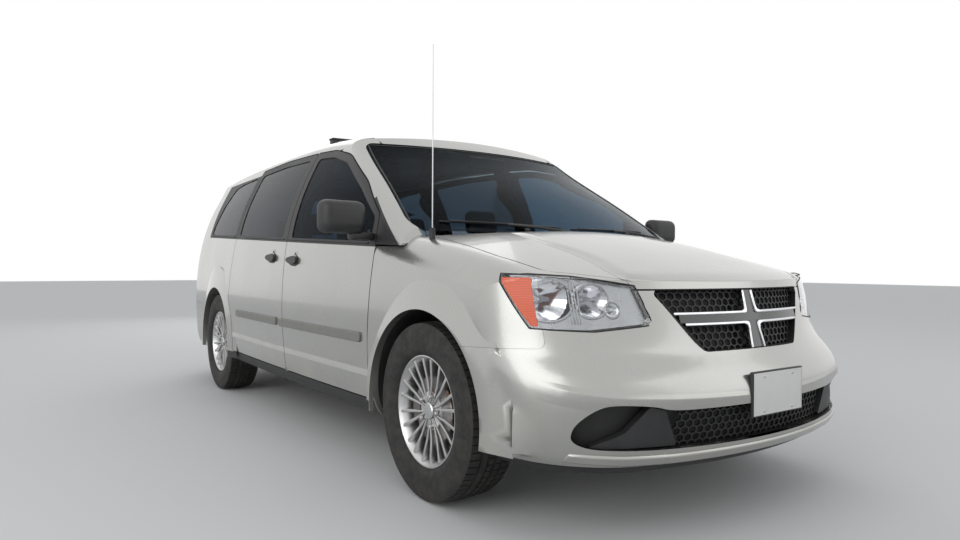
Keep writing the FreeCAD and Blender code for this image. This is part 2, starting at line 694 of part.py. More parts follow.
FENDER_TOP = (
    (DOOR_FRONT_X + GAP - 50, 1040, 0),
    (1402, 1033, 10),
    (1354, 1108, 0),
    (1300, 1180, 0),
    (1250, 1900, 0),
    (DOOR_FRONT_X + GAP - 50, 1900, 0),
)
fender_zone = box(DOOR_FRONT_X - 10 + GAP, 2420, 430, FAR, UNDERSIDE, FAR)
fender_zone = fender_zone.cut([
    grown(FRONT_DOOR, GAP),
    side_prism(BUMPER_TOP, -FAR, FAR, -SEAM),
    headlamp_hole,
    plan_prism(HOOD, HOOD_FRONT_Z - GAP, FAR, -GAP),
    ARCH_CUT_FRONT,
    side_prism(FENDER_TOP, 0, FAR, -SEAM),
    side_prism(SILL, 0, FAR, -SEAM),
    box(2200, 2600, 0, GRILLE_SIDE_Y + SEAM, 0, FAR),
    box(DOOR_FRONT_X - 20, 1400, 0, COWL_HALF - 20, 0, FAR),
])
add_pair("fender", layer(fender_zone, NOSE_LEFT, NOSE_SKIN_LEFT))

COWL_EDGE_X = 1590.0
COWL_DEPTH = 112.0
COWL_ARC_R = 1900.0
COWL_DROP = 0.9


def cowl_round(edge_x):
    return Part.makeCylinder(COWL_ARC_R, 800, Vector(edge_x - COWL_ARC_R, 0, 800))


cowl_curve = cowl_round(COWL_EDGE_X)
hood_zone = plan_prism(HOOD, HOOD_FRONT_Z, FAR).cut(headlamp_holes + [grille_hole, cowl_curve])
add("hood", layer(hood_zone, NOSE, NOSE_SKIN))

add("headlamp_lenses", both_sides(layer(headlamp_zone, NOSE_LEFT, nose_form(4, 4))))
housing_zone = headlamp_zone.cut(box(0, FAR, 0, FAR, 0, FAR).common(box(0, 2310, 0, 496, 0, FAR)))
add("headlamp_housings", both_sides(layer(housing_zone, NOSE_SKIN_LEFT, nose_form(110, 60))))
grille_cells = []
for y_low, y_high in ((-440, -12), (12, 440)):
    for z_low, z_high in ((672, 752), (776, 850)):
        grille_cells.append(box(2100, 2700, y_low, y_high, z_low, z_high))
grille_opening = front_prism(GRILLE, 2100, 2700, 18)
grille_frame = grille_zone.cut([cell.common(grille_opening) for cell in grille_cells])
add("grille", layer(grille_frame.cut(hood_zone), NOSE, NOSE_DEEP))
intake_back = front_prism(INTAKE, 2200, 2700, FIT)
add("lower_intake", layer(intake_back, NOSE_SKIN, NOSE_DEEP))

# Cowl panel under the windscreen, let in below the hood's surface
cowl_zone = cowl_round(COWL_EDGE_X - GAP).cut(cowl_round(COWL_EDGE_X - COWL_DEPTH))
hinge_tab = box(1440, 1510, 650, 700, 980, FAR)
cowl_zone = cowl_zone.fuse([hinge_tab, mirrored(hinge_tab)])
cowl_zone = cowl_zone.common(box(1250, 1700, FIT - COWL_HALF, COWL_HALF - FIT, 980, FAR))
cowl_zone = cowl_zone.cut(front_prism(SCREEN, 0, FAR, -FIT).common(box(0, 1700, -FAR, FAR, 1100, FAR)))
cowl = layer(cowl_zone, NOSE_SKIN, NOSE_DEEP)
cowl.translate(Vector(0, 0, -COWL_DROP))
add("cowl", cowl)

# Underbody
floor_low = size("floor_height")
floor = INNER_PILLAR.common(box(-2400, 1290, -FAR, FAR, floor_low, floor_low + size("floor_thick")))
for sideways in (FIT, -2 * FIT):
    moved_floor = floor.copy()
    moved_floor.translate(Vector(0, sideways, 0))
    floor = floor.common(moved_floor)
for axle_x, depth in ((FRONT_AXLE_X, "liner_depth_front"), (REAR_AXLE_X, "liner_depth_rear")):
    well = cross_cylinder(size("arch_radius") + size("liner_thick") + FIT, axle_x, size("arch_height"), size(depth) - 8, 1200)
    floor = floor.cut(well).cut(mirrored(well))
FLOOR_TOP = floor_low + size("floor_thick")
FIREWALL_X = 1186.0
firewall = box(FIREWALL_X - 26, FIREWALL_X, -735, 735, FLOOR_TOP - 2, 1030)
underbody = floor.fuse(firewall)
RAIL_IN_Y = 425.0
RAIL_OUT_Y = 488.0
RAIL_FRONT_X = 2300.0
TOWER_Z = 912.0
front_frame = []
for side in (1, -1):
    low, high = sorted((side * RAIL_IN_Y, side * RAIL_OUT_Y))
    front_frame.append(box(FIREWALL_X - 5, RAIL_FRONT_X, low, high, 430, 520))
    front_frame.append(box(RAIL_FRONT_X - 50, RAIL_FRONT_X, low, high, 330, 800))
    low, high = sorted((side * (RAIL_OUT_Y - 14), side * RAIL_OUT_Y))
    front_frame.append(box(FIREWALL_X - 5, FRONT_AXLE_X + 160, low, high, 500, TOWER_Z + 14))
    low, high = sorted((side * (RAIL_OUT_Y - 14), side * 705))
    front_frame.append(box(FRONT_AXLE_X - 110, FRONT_AXLE_X + 110, low, high, TOWER_Z, TOWER_Z + 14))
front_frame.append(box(RAIL_FRONT_X - 50, RAIL_FRONT_X, -430, 430, 770, 800))
front_frame.append(box(RAIL_FRONT_X - 50, RAIL_FRONT_X, -430, 430, 330, 380))
underbody = underbody.fuse(front_frame)
add("underbody", underbody)

STRUT_Y = 625.0
SPRING_R = 62.0
liners = []
for axle_x, depth, form in ((FRONT_AXLE_X, "liner_depth_front", NOSE_SKIN), (REAR_AXLE_X, "liner_depth_rear", INNER_PILLAR)):
    radius = size("arch_radius")
    inner = size(depth)
    tub = cross_cylinder(radius + size("liner_thick"), axle_x, size("arch_height"), inner - size("liner_thick"), 1200)
    tub = tub.cut(cross_cylinder(radius, axle_x, size("arch_height"), inner, 1300))
    tub = tub.common(box(-FAR, FAR, 0, FAR, UNDERSIDE + 20, FAR))
    tub = tub.cut(Part.makeCylinder(SPRING_R + FIT, 400, Vector(FRONT_AXLE_X, STRUT_Y, 700)))
    liners.append(tub.common(form))
liner_set = []
for liner in liners:
    liner_set.extend([liner, mirrored(liner)])
add("wheel_liners", Part.makeCompound(liner_set))

# Engine block, exhaust, tank, axle
def plain_box(label, x_low, x_high, y_low, y_high, z_low, z_high):
    part = doc.addObject("Part::Box", label)
    part.Length = x_high - x_low
    part.Width = y_high - y_low
    part.Height = z_high - z_low
    part.Placement = FreeCAD.Placement(Vector(x_low, y_low, z_low), FreeCAD.Rotation())
    part.Label = label
    pieces.append(part)
    return part


CRADLE_TOP = 290.0
plain_box("engine", 1580, 2080, -380, 400, CRADLE_TOP + FIT, 880)
plain_box("fuel_tank", -600, 200, 60, 620, 180, floor_low - FIT)

PIPE_Z = 198.0
muffler = box(-2300, -1950, -480, 0, 175, 245)
pipe = Part.makeCylinder(24, 3300, Vector(-1960, -240, PIPE_Z), Vector(1, 0, 0))
tail_pipe = Part.makeCylinder(24, 220, Vector(-2290, -420, PIPE_Z), Vector(-1, 0, 0))
hangers = []
for hanger_x in (-2125, -900, 500):
    hangers.append(Part.makeCylinder(7, floor_low - FIT - PIPE_Z, Vector(hanger_x, -240, PIPE_Z)))
add("exhaust", muffler.fuse([pipe, tail_pipe] + hangers))

HUB_FACE_Y = 800.0
beam = box(REAR_AXLE_X + 40, REAR_AXLE_X + 120, -705, 705, 232, floor_low - FIT)
axle_parts = []
for side in (1, -1):
    low, high = sorted((side * 655, side * HUB_FACE_Y))
    axle_parts.append(cross_cylinder(34, REAR_AXLE_X, size("tyre_radius"), low, high))
    low, high = sorted((side * 652, side * 705))
    axle_parts.append(box(REAR_AXLE_X - 60, REAR_AXLE_X + 120, low, high, 232, 420))
rear_axle = beam.fuse(axle_parts)
add("rear_axle", rear_axle)

kingpin = size("kingpin_y")
AXLE_Z = size("tyre_radius")
lower_arm = box(FRONT_AXLE_X - 32, FRONT_AXLE_X + 32, 380, kingpin + 25, 205, 235)
fork = box(FRONT_AXLE_X - 22, FRONT_AXLE_X + 22, 600, kingpin + 20, 500, 528)
strut = Part.makeCylinder(30, TOWER_Z - FIT - 500, Vector(FRONT_AXLE_X, STRUT_Y, 500))
spring = Part.makeCylinder(SPRING_R, TOWER_Z - FIT - 760, Vector(FRONT_AXLE_X, STRUT_Y, 760))
cradle = box(FRONT_AXLE_X - 230, FRONT_AXLE_X + 380, -400, 400, 200, CRADLE_TOP)
for side in (1, -1):
    low, high = sorted((side * 400, side * 440))
    cradle = cradle.fuse(box(FRONT_AXLE_X - 200, FRONT_AXLE_X - 120, low, high, 240, 430 - FIT))
    cradle = cradle.fuse(box(FRONT_AXLE_X + 250, FRONT_AXLE_X + 330, low, high, 240, 430 - FIT))
subframe = cradle.fuse([lower_arm, mirrored(lower_arm)])
add("front_subframe", subframe)
tower = fork.fuse([strut, spring])
add("front_struts", both_sides(tower))

upright = box(FRONT_AXLE_X - 45, FRONT_AXLE_X + 45, 752, HUB_FACE_Y, 235 + FIT, 500 - FIT)
caliper = box(FRONT_AXLE_X - 165, FRONT_AXLE_X - 90, 790, 862, AXLE_Z - 60, AXLE_Z + 60)
bracket = box(FRONT_AXLE_X - 120, FRONT_AXLE_X - 30, 780, 800, AXLE_Z - 40, AXLE_Z + 40)
knuckle = upright.fuse([caliper, bracket])
add_pair("knuckle", knuckle)


# Wheels
TYRE_FACETS = 60


def tyre_shape(axle_x):
    """A tyre of flat facets, one ring of them for each run of its profile."""
    radius = size("tyre_radius")
    half = size("tyre_width") / 2
    bead = size("rim_radius") / math.cos(math.pi / TYRE_FACETS)
    # Half profile: distance from the tyre's middle plane, distance from the axle
    half_profile = (
        (79, bead),
        (79, bead + 11.5),
        (half - 8, bead + 24),
        (half, bead + 62),
        (half - 12, radius - 22),
        (half - 36, radius),
    )
    profile = [(-across, reach) for across, reach in half_profile]
    profile.extend(reversed(half_profile))

    def at(row, turn):
        across, reach = profile[row % len(profile)]
        angle = 2 * math.pi * turn / TYRE_FACETS
        x = axle_x + reach * math.sin(angle)
        return Vector(x, size("track_half") + across, AXLE_Z - reach * math.cos(angle))

    facets = []
    for row in range(len(profile)):
        for turn in range(TYRE_FACETS):
            corners = [at(row, turn), at(row + 1, turn), at(row + 1, turn + 1), at(row, turn + 1)]
            facets.append(Part.Face(Part.makePolygon(corners + corners[:1])))
    return Part.Solid(Part.Shell(facets))


LUG_CIRCLE_R = 63.5
LUG_HOLE_R = 7.25


def rim_shape(axle_x):
    bead = size("rim_radius") - FIT
    centre = size("track_half")
    half = size("rim_width") / 2
    corners = (
        (centre - half, bead + 10, 3),
        (centre - 79.5, bead + 10, 3),
        (centre - 79.5, bead, 0),
        (centre - 60, bead, 0),
        (centre - 45, bead - 16, 10),
        (centre + 30, bead - 16, 10),
        (centre + 50, bead, 0),
        (centre + 79.5, bead, 0),
        (centre + 79.5, bead + 10, 3),
        (centre + half, bead + 10, 3),
        (centre + half, bead - 4, 0),
        (centre + 40, bead - 22, 10),
        (centre - 40, bead - 22, 10),
        (centre - half, bead - 6, 0),
    )
    wire = rounded_wire(corners, lambda u, v: Vector(axle_x, u, AXLE_Z + v))
    barrel = Part.Face(wire).revolve(Vector(axle_x, 0, AXLE_Z), Vector(0, 1, 0), 360)
    hub = cross_cylinder(82, axle_x, AXLE_Z, HUB_FACE_Y + 65, centre + 72)
    bearing = cross_cylinder(46, axle_x, AXLE_Z, HUB_FACE_Y + FIT, centre + 60)
    spokes = []
    for number in range(10):
        spoke = box(axle_x - 11, axle_x + 11, centre + 52, centre + 78, AXLE_Z + 60, AXLE_Z + bead - 8)
        spoke.rotate(Vector(axle_x, 0, AXLE_Z), Vector(0, 1, 0), 36 * number)
        spokes.append(spoke)
    wheel = barrel.fuse([hub, bearing] + spokes)
    lug_holes = []
    for number in range(5):
        hole = cross_cylinder(LUG_HOLE_R, axle_x, AXLE_Z + LUG_CIRCLE_R, HUB_FACE_Y, centre + 100)
        hole.rotate(Vector(axle_x, 0, AXLE_Z), Vector(0, 1, 0), 72 * number)
        lug_holes.append(hole)
    return wheel.cut(lug_holes)


for place, axle_x in (("front", FRONT_AXLE_X), ("rear", REAR_AXLE_X)):
    add_pair("tyre_" + place, tyre_shape(axle_x))
    add_pair("rim_" + place, rim_shape(axle_x))

# Inside
DASH_X = FIREWALL_X - 26 - FIT
DASH = ((DASH_X, 700, 0), (DASH_X, 1000, 0), (1010, 1010, 40), (930, 955, 60), (950, 860, 30), (1040, 700, 40))
dash = side_prism(DASH, -690, 690)
WHEEL_RIM_R = 185.0
wheel_hub = Vector(835, 390, 985)
wheel_axis = Vector(-0.9, 0, 0.4359)
column = Part.makeCylinder(26, 215, wheel_hub, wheel_axis.negative())
wheel_ring = Part.makeTorus(WHEEL_RIM_R, 14, wheel_hub, wheel_axis)
boss = Part.makeCylinder(60, 40, wheel_hub.add(wheel_axis * -15), wheel_axis)
wheel_spokes = []
for angle in (0, 90, 180):
    spoke = Part.makeBox(WHEEL_RIM_R, 30, 12, Vector(0, -15, -6))
    spoke.rotate(Vector(0, 0, 0), Vector(0, 0, 1), angle - 90)
    turn = FreeCAD.Rotation(Vector(0, 0, 1), wheel_axis)
    spoke.Placement = FreeCAD.Placement(wheel_hub, turn).multiply(spoke.Placement)
    wheel_spokes.append(spoke)
add("dashboard", dash.cut(Part.makeCylinder(26 + FIT, 400, wheel_hub, wheel_axis.negative())))
add("steering_wheel", wheel_ring.fuse([column, boss] + wheel_spokes))


def seat(x, y, width):
    """One seat: cushion, reclined back and head restraint on a low base."""
    low = floor_low + size("floor_thick") + FIT
    base = box(x - 230, x + 150, y - width / 2 + 60, y + width / 2 - 60, low, 460)
    cushion = box(x - 250, x + 260, y - width / 2, y + width / 2, 455, 610)
    back = side_prism(((x - 150, 560, 20), (x - 330, 1140, 60), (x - 430, 1140, 40), (x - 290, 560, 20)),
                      y - width / 2, y + width / 2)
    rest = side_prism(((x - 340, 1150, 30), (x - 385, 1320, 40), (x - 465, 1310, 40), (x - 425, 1130, 20)),
                      y - 130, y + 130)
    stalks = side_prism(((x - 350, 1100, 0), (x - 375, 1180, 0), (x - 395, 1180, 0), (x - 375, 1100, 0)), y - 60, y + 60)
    return base.fuse([cushion, back, rest, stalks])


for row_name, row_x in (("front_seats", 540), ("middle_seats", -420)):
    add(row_name, both_sides(seat(row_x, 390, 520)))
add("rear_bench", seat(-1330, 0, 1080))

# Antenna mast on the right fender
MAST_X = 1487.0
MAST_Y = -812.0
mast = Part.makeCylinder(13, 80, Vector(MAST_X, MAST_Y, 1030))
rod = Part.makeCylinder(2.5, 800, Vector(MAST_X, MAST_Y, 1095))
add("antenna", mast.fuse(rod).cut(NOSE))

# Door mirrors: a rounded housing on a foot at the front of the window
MIRROR_PLAN = ((1188, 962, 50), (1100, 952, 25), (1082, 1180, 25), (1150, 1188, 60))
mirror_shell = plan_prism(MIRROR_PLAN, 1080, 1250)
mirror_outline = ((950, 1085, 40), (955, 1240, 45), (1185, 1250, 60), (1192, 1110, 50))
mirror_shell = mirror_shell.common(front_prism(mirror_outline, 1000, 1300))
mirror_foot = box(1092, 1146, 840, 985, 1066, 1100).cut(OUTER)
add_pair("mirror", mirror_shell.fuse(mirror_foot))

doc.recompute()
for piece in pieces:
    if "Invalid" in piece.State or "Error" in piece.State:
        raise RuntimeError(piece.Label + " failed")
    if piece.Shape.isNull() or not piece.Shape.isValid():
        raise RuntimeError(piece.Label + " has no valid shape")
    piece.Shape.exportStep(os.path.join("parts", piece.Label + ".step"))
print(len(pieces), "sub-parts")
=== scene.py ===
"""A silver seven-seat minivan: paint, glass, lamps, trim, tyres and seats round its solid frame.

Units are metres, in the frame of the solids: +X is forward, +Y is the left side, +Z is up.
"""
import math

import bmesh
import bpy
from bpy.props import FloatProperty, FloatVectorProperty, IntProperty, PointerProperty
from mathutils import Matrix, Vector
from mathutils.bvhtree import BVHTree


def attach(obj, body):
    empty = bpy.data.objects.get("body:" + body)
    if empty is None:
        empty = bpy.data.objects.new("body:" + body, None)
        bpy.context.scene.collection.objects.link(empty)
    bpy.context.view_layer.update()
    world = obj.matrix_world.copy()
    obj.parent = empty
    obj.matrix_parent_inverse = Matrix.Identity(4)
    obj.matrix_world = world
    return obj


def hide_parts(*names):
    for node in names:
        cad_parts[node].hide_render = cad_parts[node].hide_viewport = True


bl_info = {
    "name": "Minivan dressing",
    "version": (1, 0, 0),
    "blender": (4, 5, 0),
    "location": "View3D > Sidebar > Minivan",
    "description": "Paint, glass, lamps, trim, tyres and seats for a minivan",
    "category": "Object",
}

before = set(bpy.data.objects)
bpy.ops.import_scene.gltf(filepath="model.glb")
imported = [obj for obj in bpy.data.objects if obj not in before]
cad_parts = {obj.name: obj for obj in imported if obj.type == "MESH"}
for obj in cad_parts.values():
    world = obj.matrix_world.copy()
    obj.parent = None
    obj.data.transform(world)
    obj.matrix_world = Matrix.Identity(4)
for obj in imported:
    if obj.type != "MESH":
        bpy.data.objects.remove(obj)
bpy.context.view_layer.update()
SIDES = (("left", 1), ("right", -1))

FRONT_AXLE_X = 1.6105
REAR_AXLE_X = -1.4675
AXLE_Z = 0.362
WHEEL_Y = 0.825

# Inner face of the brake discs, seat of the wheel bolts, radius of the bolts' circle
DISC_Y = 0.866
BOLT_Y = 0.893
BOLT_CIRCLE = 0.0635

# Distance from which a ray is cast at the vehicle
FAR = 5.0

# Angle between two faces past which their edge stays sharp
SMOOTH_ANGLE = math.radians(35)

# Window line: its height at the vehicle's middle and its drop per metre forward
BELT_Z = 1.095
BELT_DROP = 0.0435

# Black band on the body's side: its top, its rear end and its front end
BAND_TOP_Z = 1.602
BAND_REAR_X = -1.975
BAND_FRONT_X = 0.40

# Black foot of the front pillar: its rear end, and the slope and height of the line over it
FOOT_REAR_X = 1.04
FOOT_SLOPE = 0.72
FOOT_LINE_Z = 2.028

# Top of the black band low on the front bumper: painted shade under its lip
LIP_SHADE_Z = 0.284

# How far the doors stand out below the crease above their sill, and how far the bumper's ridge does
LEDGE_DEEP = 0.007
RIDGE_DEEP = 0.006

# Unevenness of the paint: strength and depth of its relief
WAVE_STRENGTH = 0.012
WAVE_DEEP = 0.0006

# Cross of the grille: height of its bar's middle, half height of the bar over its bright edges
CROSS_Z = 0.766
CROSS_HALF = 0.024

# How far the lamp's bright inner face lies behind its lens
LAMP_FACE_BEHIND = 0.022

# Back of the front plate, and the body that each plate rides on
FRONT_PLATE_X = 2.5752
PLATE_BODY = {"front": "root", "rear": "liftgate"}

# A view of the vehicle: the axis drawn across, the axis drawn up, the axis looked along, its outward sign
VIEWS = {
    "left": (0, 2, 1, 1),
    "right": (0, 2, 1, -1),
    "front": (1, 2, 0, 1),
    "rear": (1, 2, 0, -1),
    "top": (0, 1, 2, 1),
}


class PaintSettings(bpy.types.PropertyGroup):
    """Body colour and the black window band."""
    silver: FloatVectorProperty(name="Silver", description="Base colour of the body paint",
                                subtype="COLOR", size=3, min=0, max=1, default=(0.42, 0.42, 0.40))
    dust: FloatVectorProperty(name="Road dust", description="Colour of the dust low on the body",
                              subtype="COLOR", size=3, min=0, max=1, default=(0.38, 0.34, 0.28))
    dust_height: FloatProperty(name="Dust height", description="Height at which the dust fades out",
                               unit="LENGTH", default=0.62, min=0.1, max=1.5)
    belt_height: FloatProperty(name="Belt height", description="Lower edge of the black band at the middle",
                               unit="LENGTH", default=1.086, min=0.9, max=1.3)
    belt_slope: FloatProperty(name="Belt slope", description="How much the belt drops per metre forward",
                              default=BELT_DROP, min=0, max=0.2)


class TyreSettings(bpy.types.PropertyGroup):
    """Tyre size and tread."""
    radius: FloatProperty(name="Radius", description="Outer radius of the tread",
                          unit="LENGTH", default=0.3615, min=0.2, max=0.6)
    width: FloatProperty(name="Width", description="Section width",
                         unit="LENGTH", default=0.225, min=0.1, max=0.4)
    bead: FloatProperty(name="Bead radius", description="Radius where the tyre meets the rim",
                        unit="LENGTH", default=0.217, min=0.1, max=0.4)
    groove: FloatProperty(name="Groove depth", description="Depth of the tread grooves",
                          unit="LENGTH", default=0.007, min=0.001, max=0.02)
    pitches: IntProperty(name="Pitches", description="Tread blocks round the tyre",
                         default=72, min=24, max=120)


class StageSettings(bpy.types.PropertyGroup):
    """Camera and studio light."""
    lens: FloatProperty(name="Lens", description="Focal length on a 36 mm wide sensor, in mm",
                        default=25.99, min=10, max=100)
    azimuth: FloatProperty(name="Look azimuth", description="Direction of view about the vertical",
                           subtype="ANGLE", default=math.radians(144.906))
    elevation: FloatProperty(name="Look elevation", description="Direction of view above the horizon",
                             subtype="ANGLE", default=math.radians(-0.337))
    roll: FloatProperty(name="Roll", description="Turn about the direction of view",
                        subtype="ANGLE", default=math.radians(0.317))
    place: FloatVectorProperty(name="Place", description="Where the camera stands",
                               subtype="TRANSLATION", size=3, default=(4.0255, -2.346, 0.950))
    key_power: FloatProperty(name="Key light", description="Power of the main soft light in watts",
                             default=190, min=0, max=5000)
    sky_strength: FloatProperty(name="Sky", description="Strength of the even light from all round",
                                default=0.60, min=0, max=3)


# Materials

def start_material(name):
    """A new material with its node tree and its shader."""
    material = bpy.data.materials.new(name)
    material.use_nodes = True
    tree = material.node_tree
    return material, tree, tree.nodes["Principled BSDF"]


def connect(tree, node, inputs):
    """Set a node's inputs, each to a value or to another node's socket."""
    for key, value in inputs.items():
        if isinstance(value, bpy.types.NodeSocket):
            tree.links.new(value, node.inputs[key])
        else:
            node.inputs[key].default_value = value


def add_node(tree, kind, inputs=None, **settings):
    """A node with its settings and inputs."""
    node = tree.nodes.new(kind)
    for key, value in settings.items():
        setattr(node, key, value)
    connect(tree, node, inputs or {})
    return node


def math_node(tree, operation, first, second=0.0, clamp=False):
    """The result of one sum or comparison."""
    inputs = {0: first, 1: second}
    return add_node(tree, "ShaderNodeMath", inputs, operation=operation, use_clamp=clamp).outputs[0]


def product(tree, first, second, clamp=False):
    """The product of two values."""
    return math_node(tree, "MULTIPLY", first, second, clamp)


def object_point(tree):
    """The shaded point in the object's own coordinates."""
    return add_node(tree, "ShaderNodeTexCoord").outputs["Object"]


def noise(tree, scale, detail=3.0, roughness=0.5):
    """A cloudy value from 0 to 1."""
    inputs = {"Vector": object_point(tree), "Scale": scale, "Detail": detail, "Roughness": roughness}
    return add_node(tree, "ShaderNodeTexNoise", inputs).outputs["Fac"]


def spread(tree, value, low, high, out_low=0.0, out_high=1.0):
    """Map one range of a value onto another, clamped."""
    inputs = {"Value": value, "From Min": low, "From Max": high, "To Min": out_low, "To Max": out_high}
    return add_node(tree, "ShaderNodeMapRange", inputs).outputs[0]


def mix_colour(tree, factor, first, second):
    """A mix of two colours, each a socket or three values."""
    pair = [part if isinstance(part, bpy.types.NodeSocket) else (*part[:3], 1.0) for part in (first, second)]
    inputs = {0: factor, 6: pair[0], 7: pair[1]}
    return add_node(tree, "ShaderNodeMix", inputs, data_type="RGBA").outputs[2]


def add_bump(tree, shader, height, strength, distance):
    """Give a shader its relief."""
    inputs = {"Height": height, "Strength": strength, "Distance": distance}
    connect(tree, shader, {"Normal": add_node(tree, "ShaderNodeBump", inputs).outputs[0]})


def black_part(tree, paint, panel, along, height):
    """1 where a panel is black: above the belt of a door or a side, or low on the bumper, where the black is
    painted shade under its lip.
    """
    if panel == "bumper":
        # Painted shade: the bumper is black below its lip.
        return math_node(tree, "LESS_THAN", height, LIP_SHADE_Z)
    belt_line = math_node(tree, "ADD", height, product(tree, along, paint.belt_slope))
    black = math_node(tree, "GREATER_THAN", belt_line, paint.belt_height)
    if panel == "side":
        black = product(tree, black, math_node(tree, "LESS_THAN", height, BAND_TOP_Z))
        black = product(tree, black, math_node(tree, "GREATER_THAN", along, BAND_REAR_X))
        foot_line = math_node(tree, "ADD", height, product(tree, along, FOOT_SLOPE))
        foot = product(tree, math_node(tree, "LESS_THAN", foot_line, FOOT_LINE_Z),
                       math_node(tree, "GREATER_THAN", along, FOOT_REAR_X))
        band = math_node(tree, "LESS_THAN", along, BAND_FRONT_X)
        black = product(tree, black, math_node(tree, "MAXIMUM", band, foot))
    return black


def pressed_part(tree, panel, along, height):
    """How far a panel's pressed form stands out: a door's ledge or the bumper's ridge."""
    if panel == "door":
        return spread(tree, height, 0.445, 0.475, LEDGE_DEEP, 0.0)
    line = math_node(tree, "ADD", height, product(tree, along, 0.19))
    ridge = product(tree, spread(tree, line, 0.988, 1.003, RIDGE_DEEP, 0.0),
                    spread(tree, line, 0.935, 0.985, 0.0, 1.0))
    return product(tree, ridge, spread(tree, along, 2.23, 2.34, 0.0, 1.0))


def body_paint(name, paint, panel=None):
    """Metallic silver under clear coat, dusty low down; panel is door, side, bumper or none of them."""
    material, tree, shader = start_material(name)
    place = add_node(tree, "ShaderNodeSeparateXYZ", {0: object_point(tree)})
    along = place.outputs["X"]
    height = place.outputs["Z"]
    bright = tuple(min(1.0, 1.06 * part) for part in paint.silver)
    dull = tuple(0.93 * part for part in paint.silver)
    metal = mix_colour(tree, spread(tree, noise(tree, 900.0, 1.0), 0.35, 0.65), dull, bright)
    fade = spread(tree, height, 0.22, paint.dust_height, 1.0, 0.0)
    patches = spread(tree, noise(tree, 4.0, 1.5, 0.45), 0.36, 0.80)
    dust = product(tree, product(tree, fade, patches, clamp=True), 0.55)
    colour = mix_colour(tree, dust, metal, paint.dust)
    rough = spread(tree, noise(tree, 2.2), 0.3, 0.7, 0.24, 0.31)
    rough = math_node(tree, "ADD", rough, product(tree, dust, 0.5), clamp=True)
    metallic = spread(tree, dust, 0.0, 0.6, 0.82, 0.2)
    coat = 0.7
    if panel:
        black = black_part(tree, paint, panel, along, height)
        plain = math_node(tree, "SUBTRACT", 1.0, black)
        colour = mix_colour(tree, black, colour, (0.012, 0.012, 0.013))
        rough = math_node(tree, "ADD", rough, product(tree, black, 0.3), clamp=True)
        metallic = product(tree, metallic, plain)
        coat = spread(tree, plain, 0.0, 1.0, 0.08, coat)
    connect(tree, shader, {"Base Color": colour, "Metallic": metallic, "Roughness": rough,
                           "Coat Weight": coat, "Coat Roughness": 0.06})
    waves = noise(tree, 38.0, 2.0)
    if panel in ("door", "bumper"):
        relief = math_node(tree, "ADD", pressed_part(tree, panel, along, height),
                           product(tree, waves, WAVE_STRENGTH * WAVE_DEEP))
        add_bump(tree, shader, relief, 1.0, 1.0)
    else:
        add_bump(tree, shader, waves, WAVE_STRENGTH, WAVE_DEEP)
    return material


def moulded_plastic(name, colour, roughness, grain=0.25, scale=900.0):
    """Grained plastic with a little wear."""
    material, tree, shader = start_material(name)
    wear = noise(tree, 7.0, 5.0, 0.6)
    pale = tuple(min(1.0, 1.5 * part + 0.01) for part in colour)
    connect(tree, shader, {
        "Base Color": mix_colour(tree, spread(tree, wear, 0.45, 0.8), colour, pale),
        "Roughness": spread(tree, wear, 0.3, 0.7, roughness, min(1.0, roughness + 0.12)),
    })
    add_bump(tree, shader, noise(tree, scale, 2.0), grain, 0.0004)
    return material


def bare_metal(name, colour, roughness, metallic=1.0, scale=60.0, bump=0.1, dull=0.8):
    """Metal with a grain; dull is how dark its darkest grain is."""
    material, tree, shader = start_material(name)
    grain = noise(tree, scale, 4.0, 0.6)
    dark = tuple(dull * part for part in colour)
    connect(tree, shader, {
        "Base Color": mix_colour(tree, spread(tree, grain, 0.3, 0.7), dark, colour),
        "Roughness": spread(tree, grain, 0.3, 0.7, roughness, roughness + 0.08),
        "Metallic": metallic,
    })
    add_bump(tree, shader, grain, bump, 0.0005)
    return material


def window_glass(name, tint, bending):
    """Tinted glass with a faint film of dust and reflections tinted blue as a painted sky reflection; bending
    is its index of refraction, low as for a thin pane.
    """
    material, tree, shader = start_material(name)
    film = noise(tree, 9.0, 6.0, 0.65)
    dusty = tuple(0.8 * part for part in tint)
    connect(tree, shader, {
        "Base Color": mix_colour(tree, spread(tree, film, 0.5, 0.85, 0.0, 0.35), tint, dusty),
        "Roughness": spread(tree, film, 0.4, 0.8, 0.02, 0.07),
        "Transmission Weight": 1.0,
        "IOR": bending,
        "Specular IOR Level": 0.30,
        # Painted reflection: the blue specular tint stands in for the sky.
        "Specular Tint": (0.40, 0.66, 1.0, 1.0),
    })
    return material


def tyre_rubber(name):
    """Black rubber with road dust."""
    material, tree, shader = start_material(name)
    dust = spread(tree, noise(tree, 14.0, 5.0, 0.6), 0.4, 0.75, 0.0, 0.6)
    connect(tree, shader, {
        "Base Color": mix_colour(tree, dust, (0.013, 0.0125, 0.012), (0.055, 0.050, 0.043)),
        "Roughness": spread(tree, noise(tree, 40.0), 0.3, 0.7, 0.62, 0.82),
    })
    add_bump(tree, shader, noise(tree, 700.0, 2.0), 0.25, 0.0004)
    return material


def seat_cloth(name):
    """Dark woven cloth, unevenly worn."""
    material, tree, shader = start_material(name)
    weave = add_node(tree, "ShaderNodeTexVoronoi", {"Vector": object_point(tree), "Scale": 420.0})
    patches = noise(tree, 6.0, 4.0)
    worn = spread(tree, patches, 0.3, 0.7)
    connect(tree, shader, {
        "Base Color": mix_colour(tree, worn, (0.055, 0.052, 0.050), (0.085, 0.080, 0.076)),
        "Roughness": spread(tree, patches, 0.2, 0.8, 0.85, 0.97),
        "Sheen Weight": 0.35,
        "Sheen Roughness": 0.5,
    })
    add_bump(tree, shader, weave.outputs["Distance"], 0.5, 0.0012)
    return material


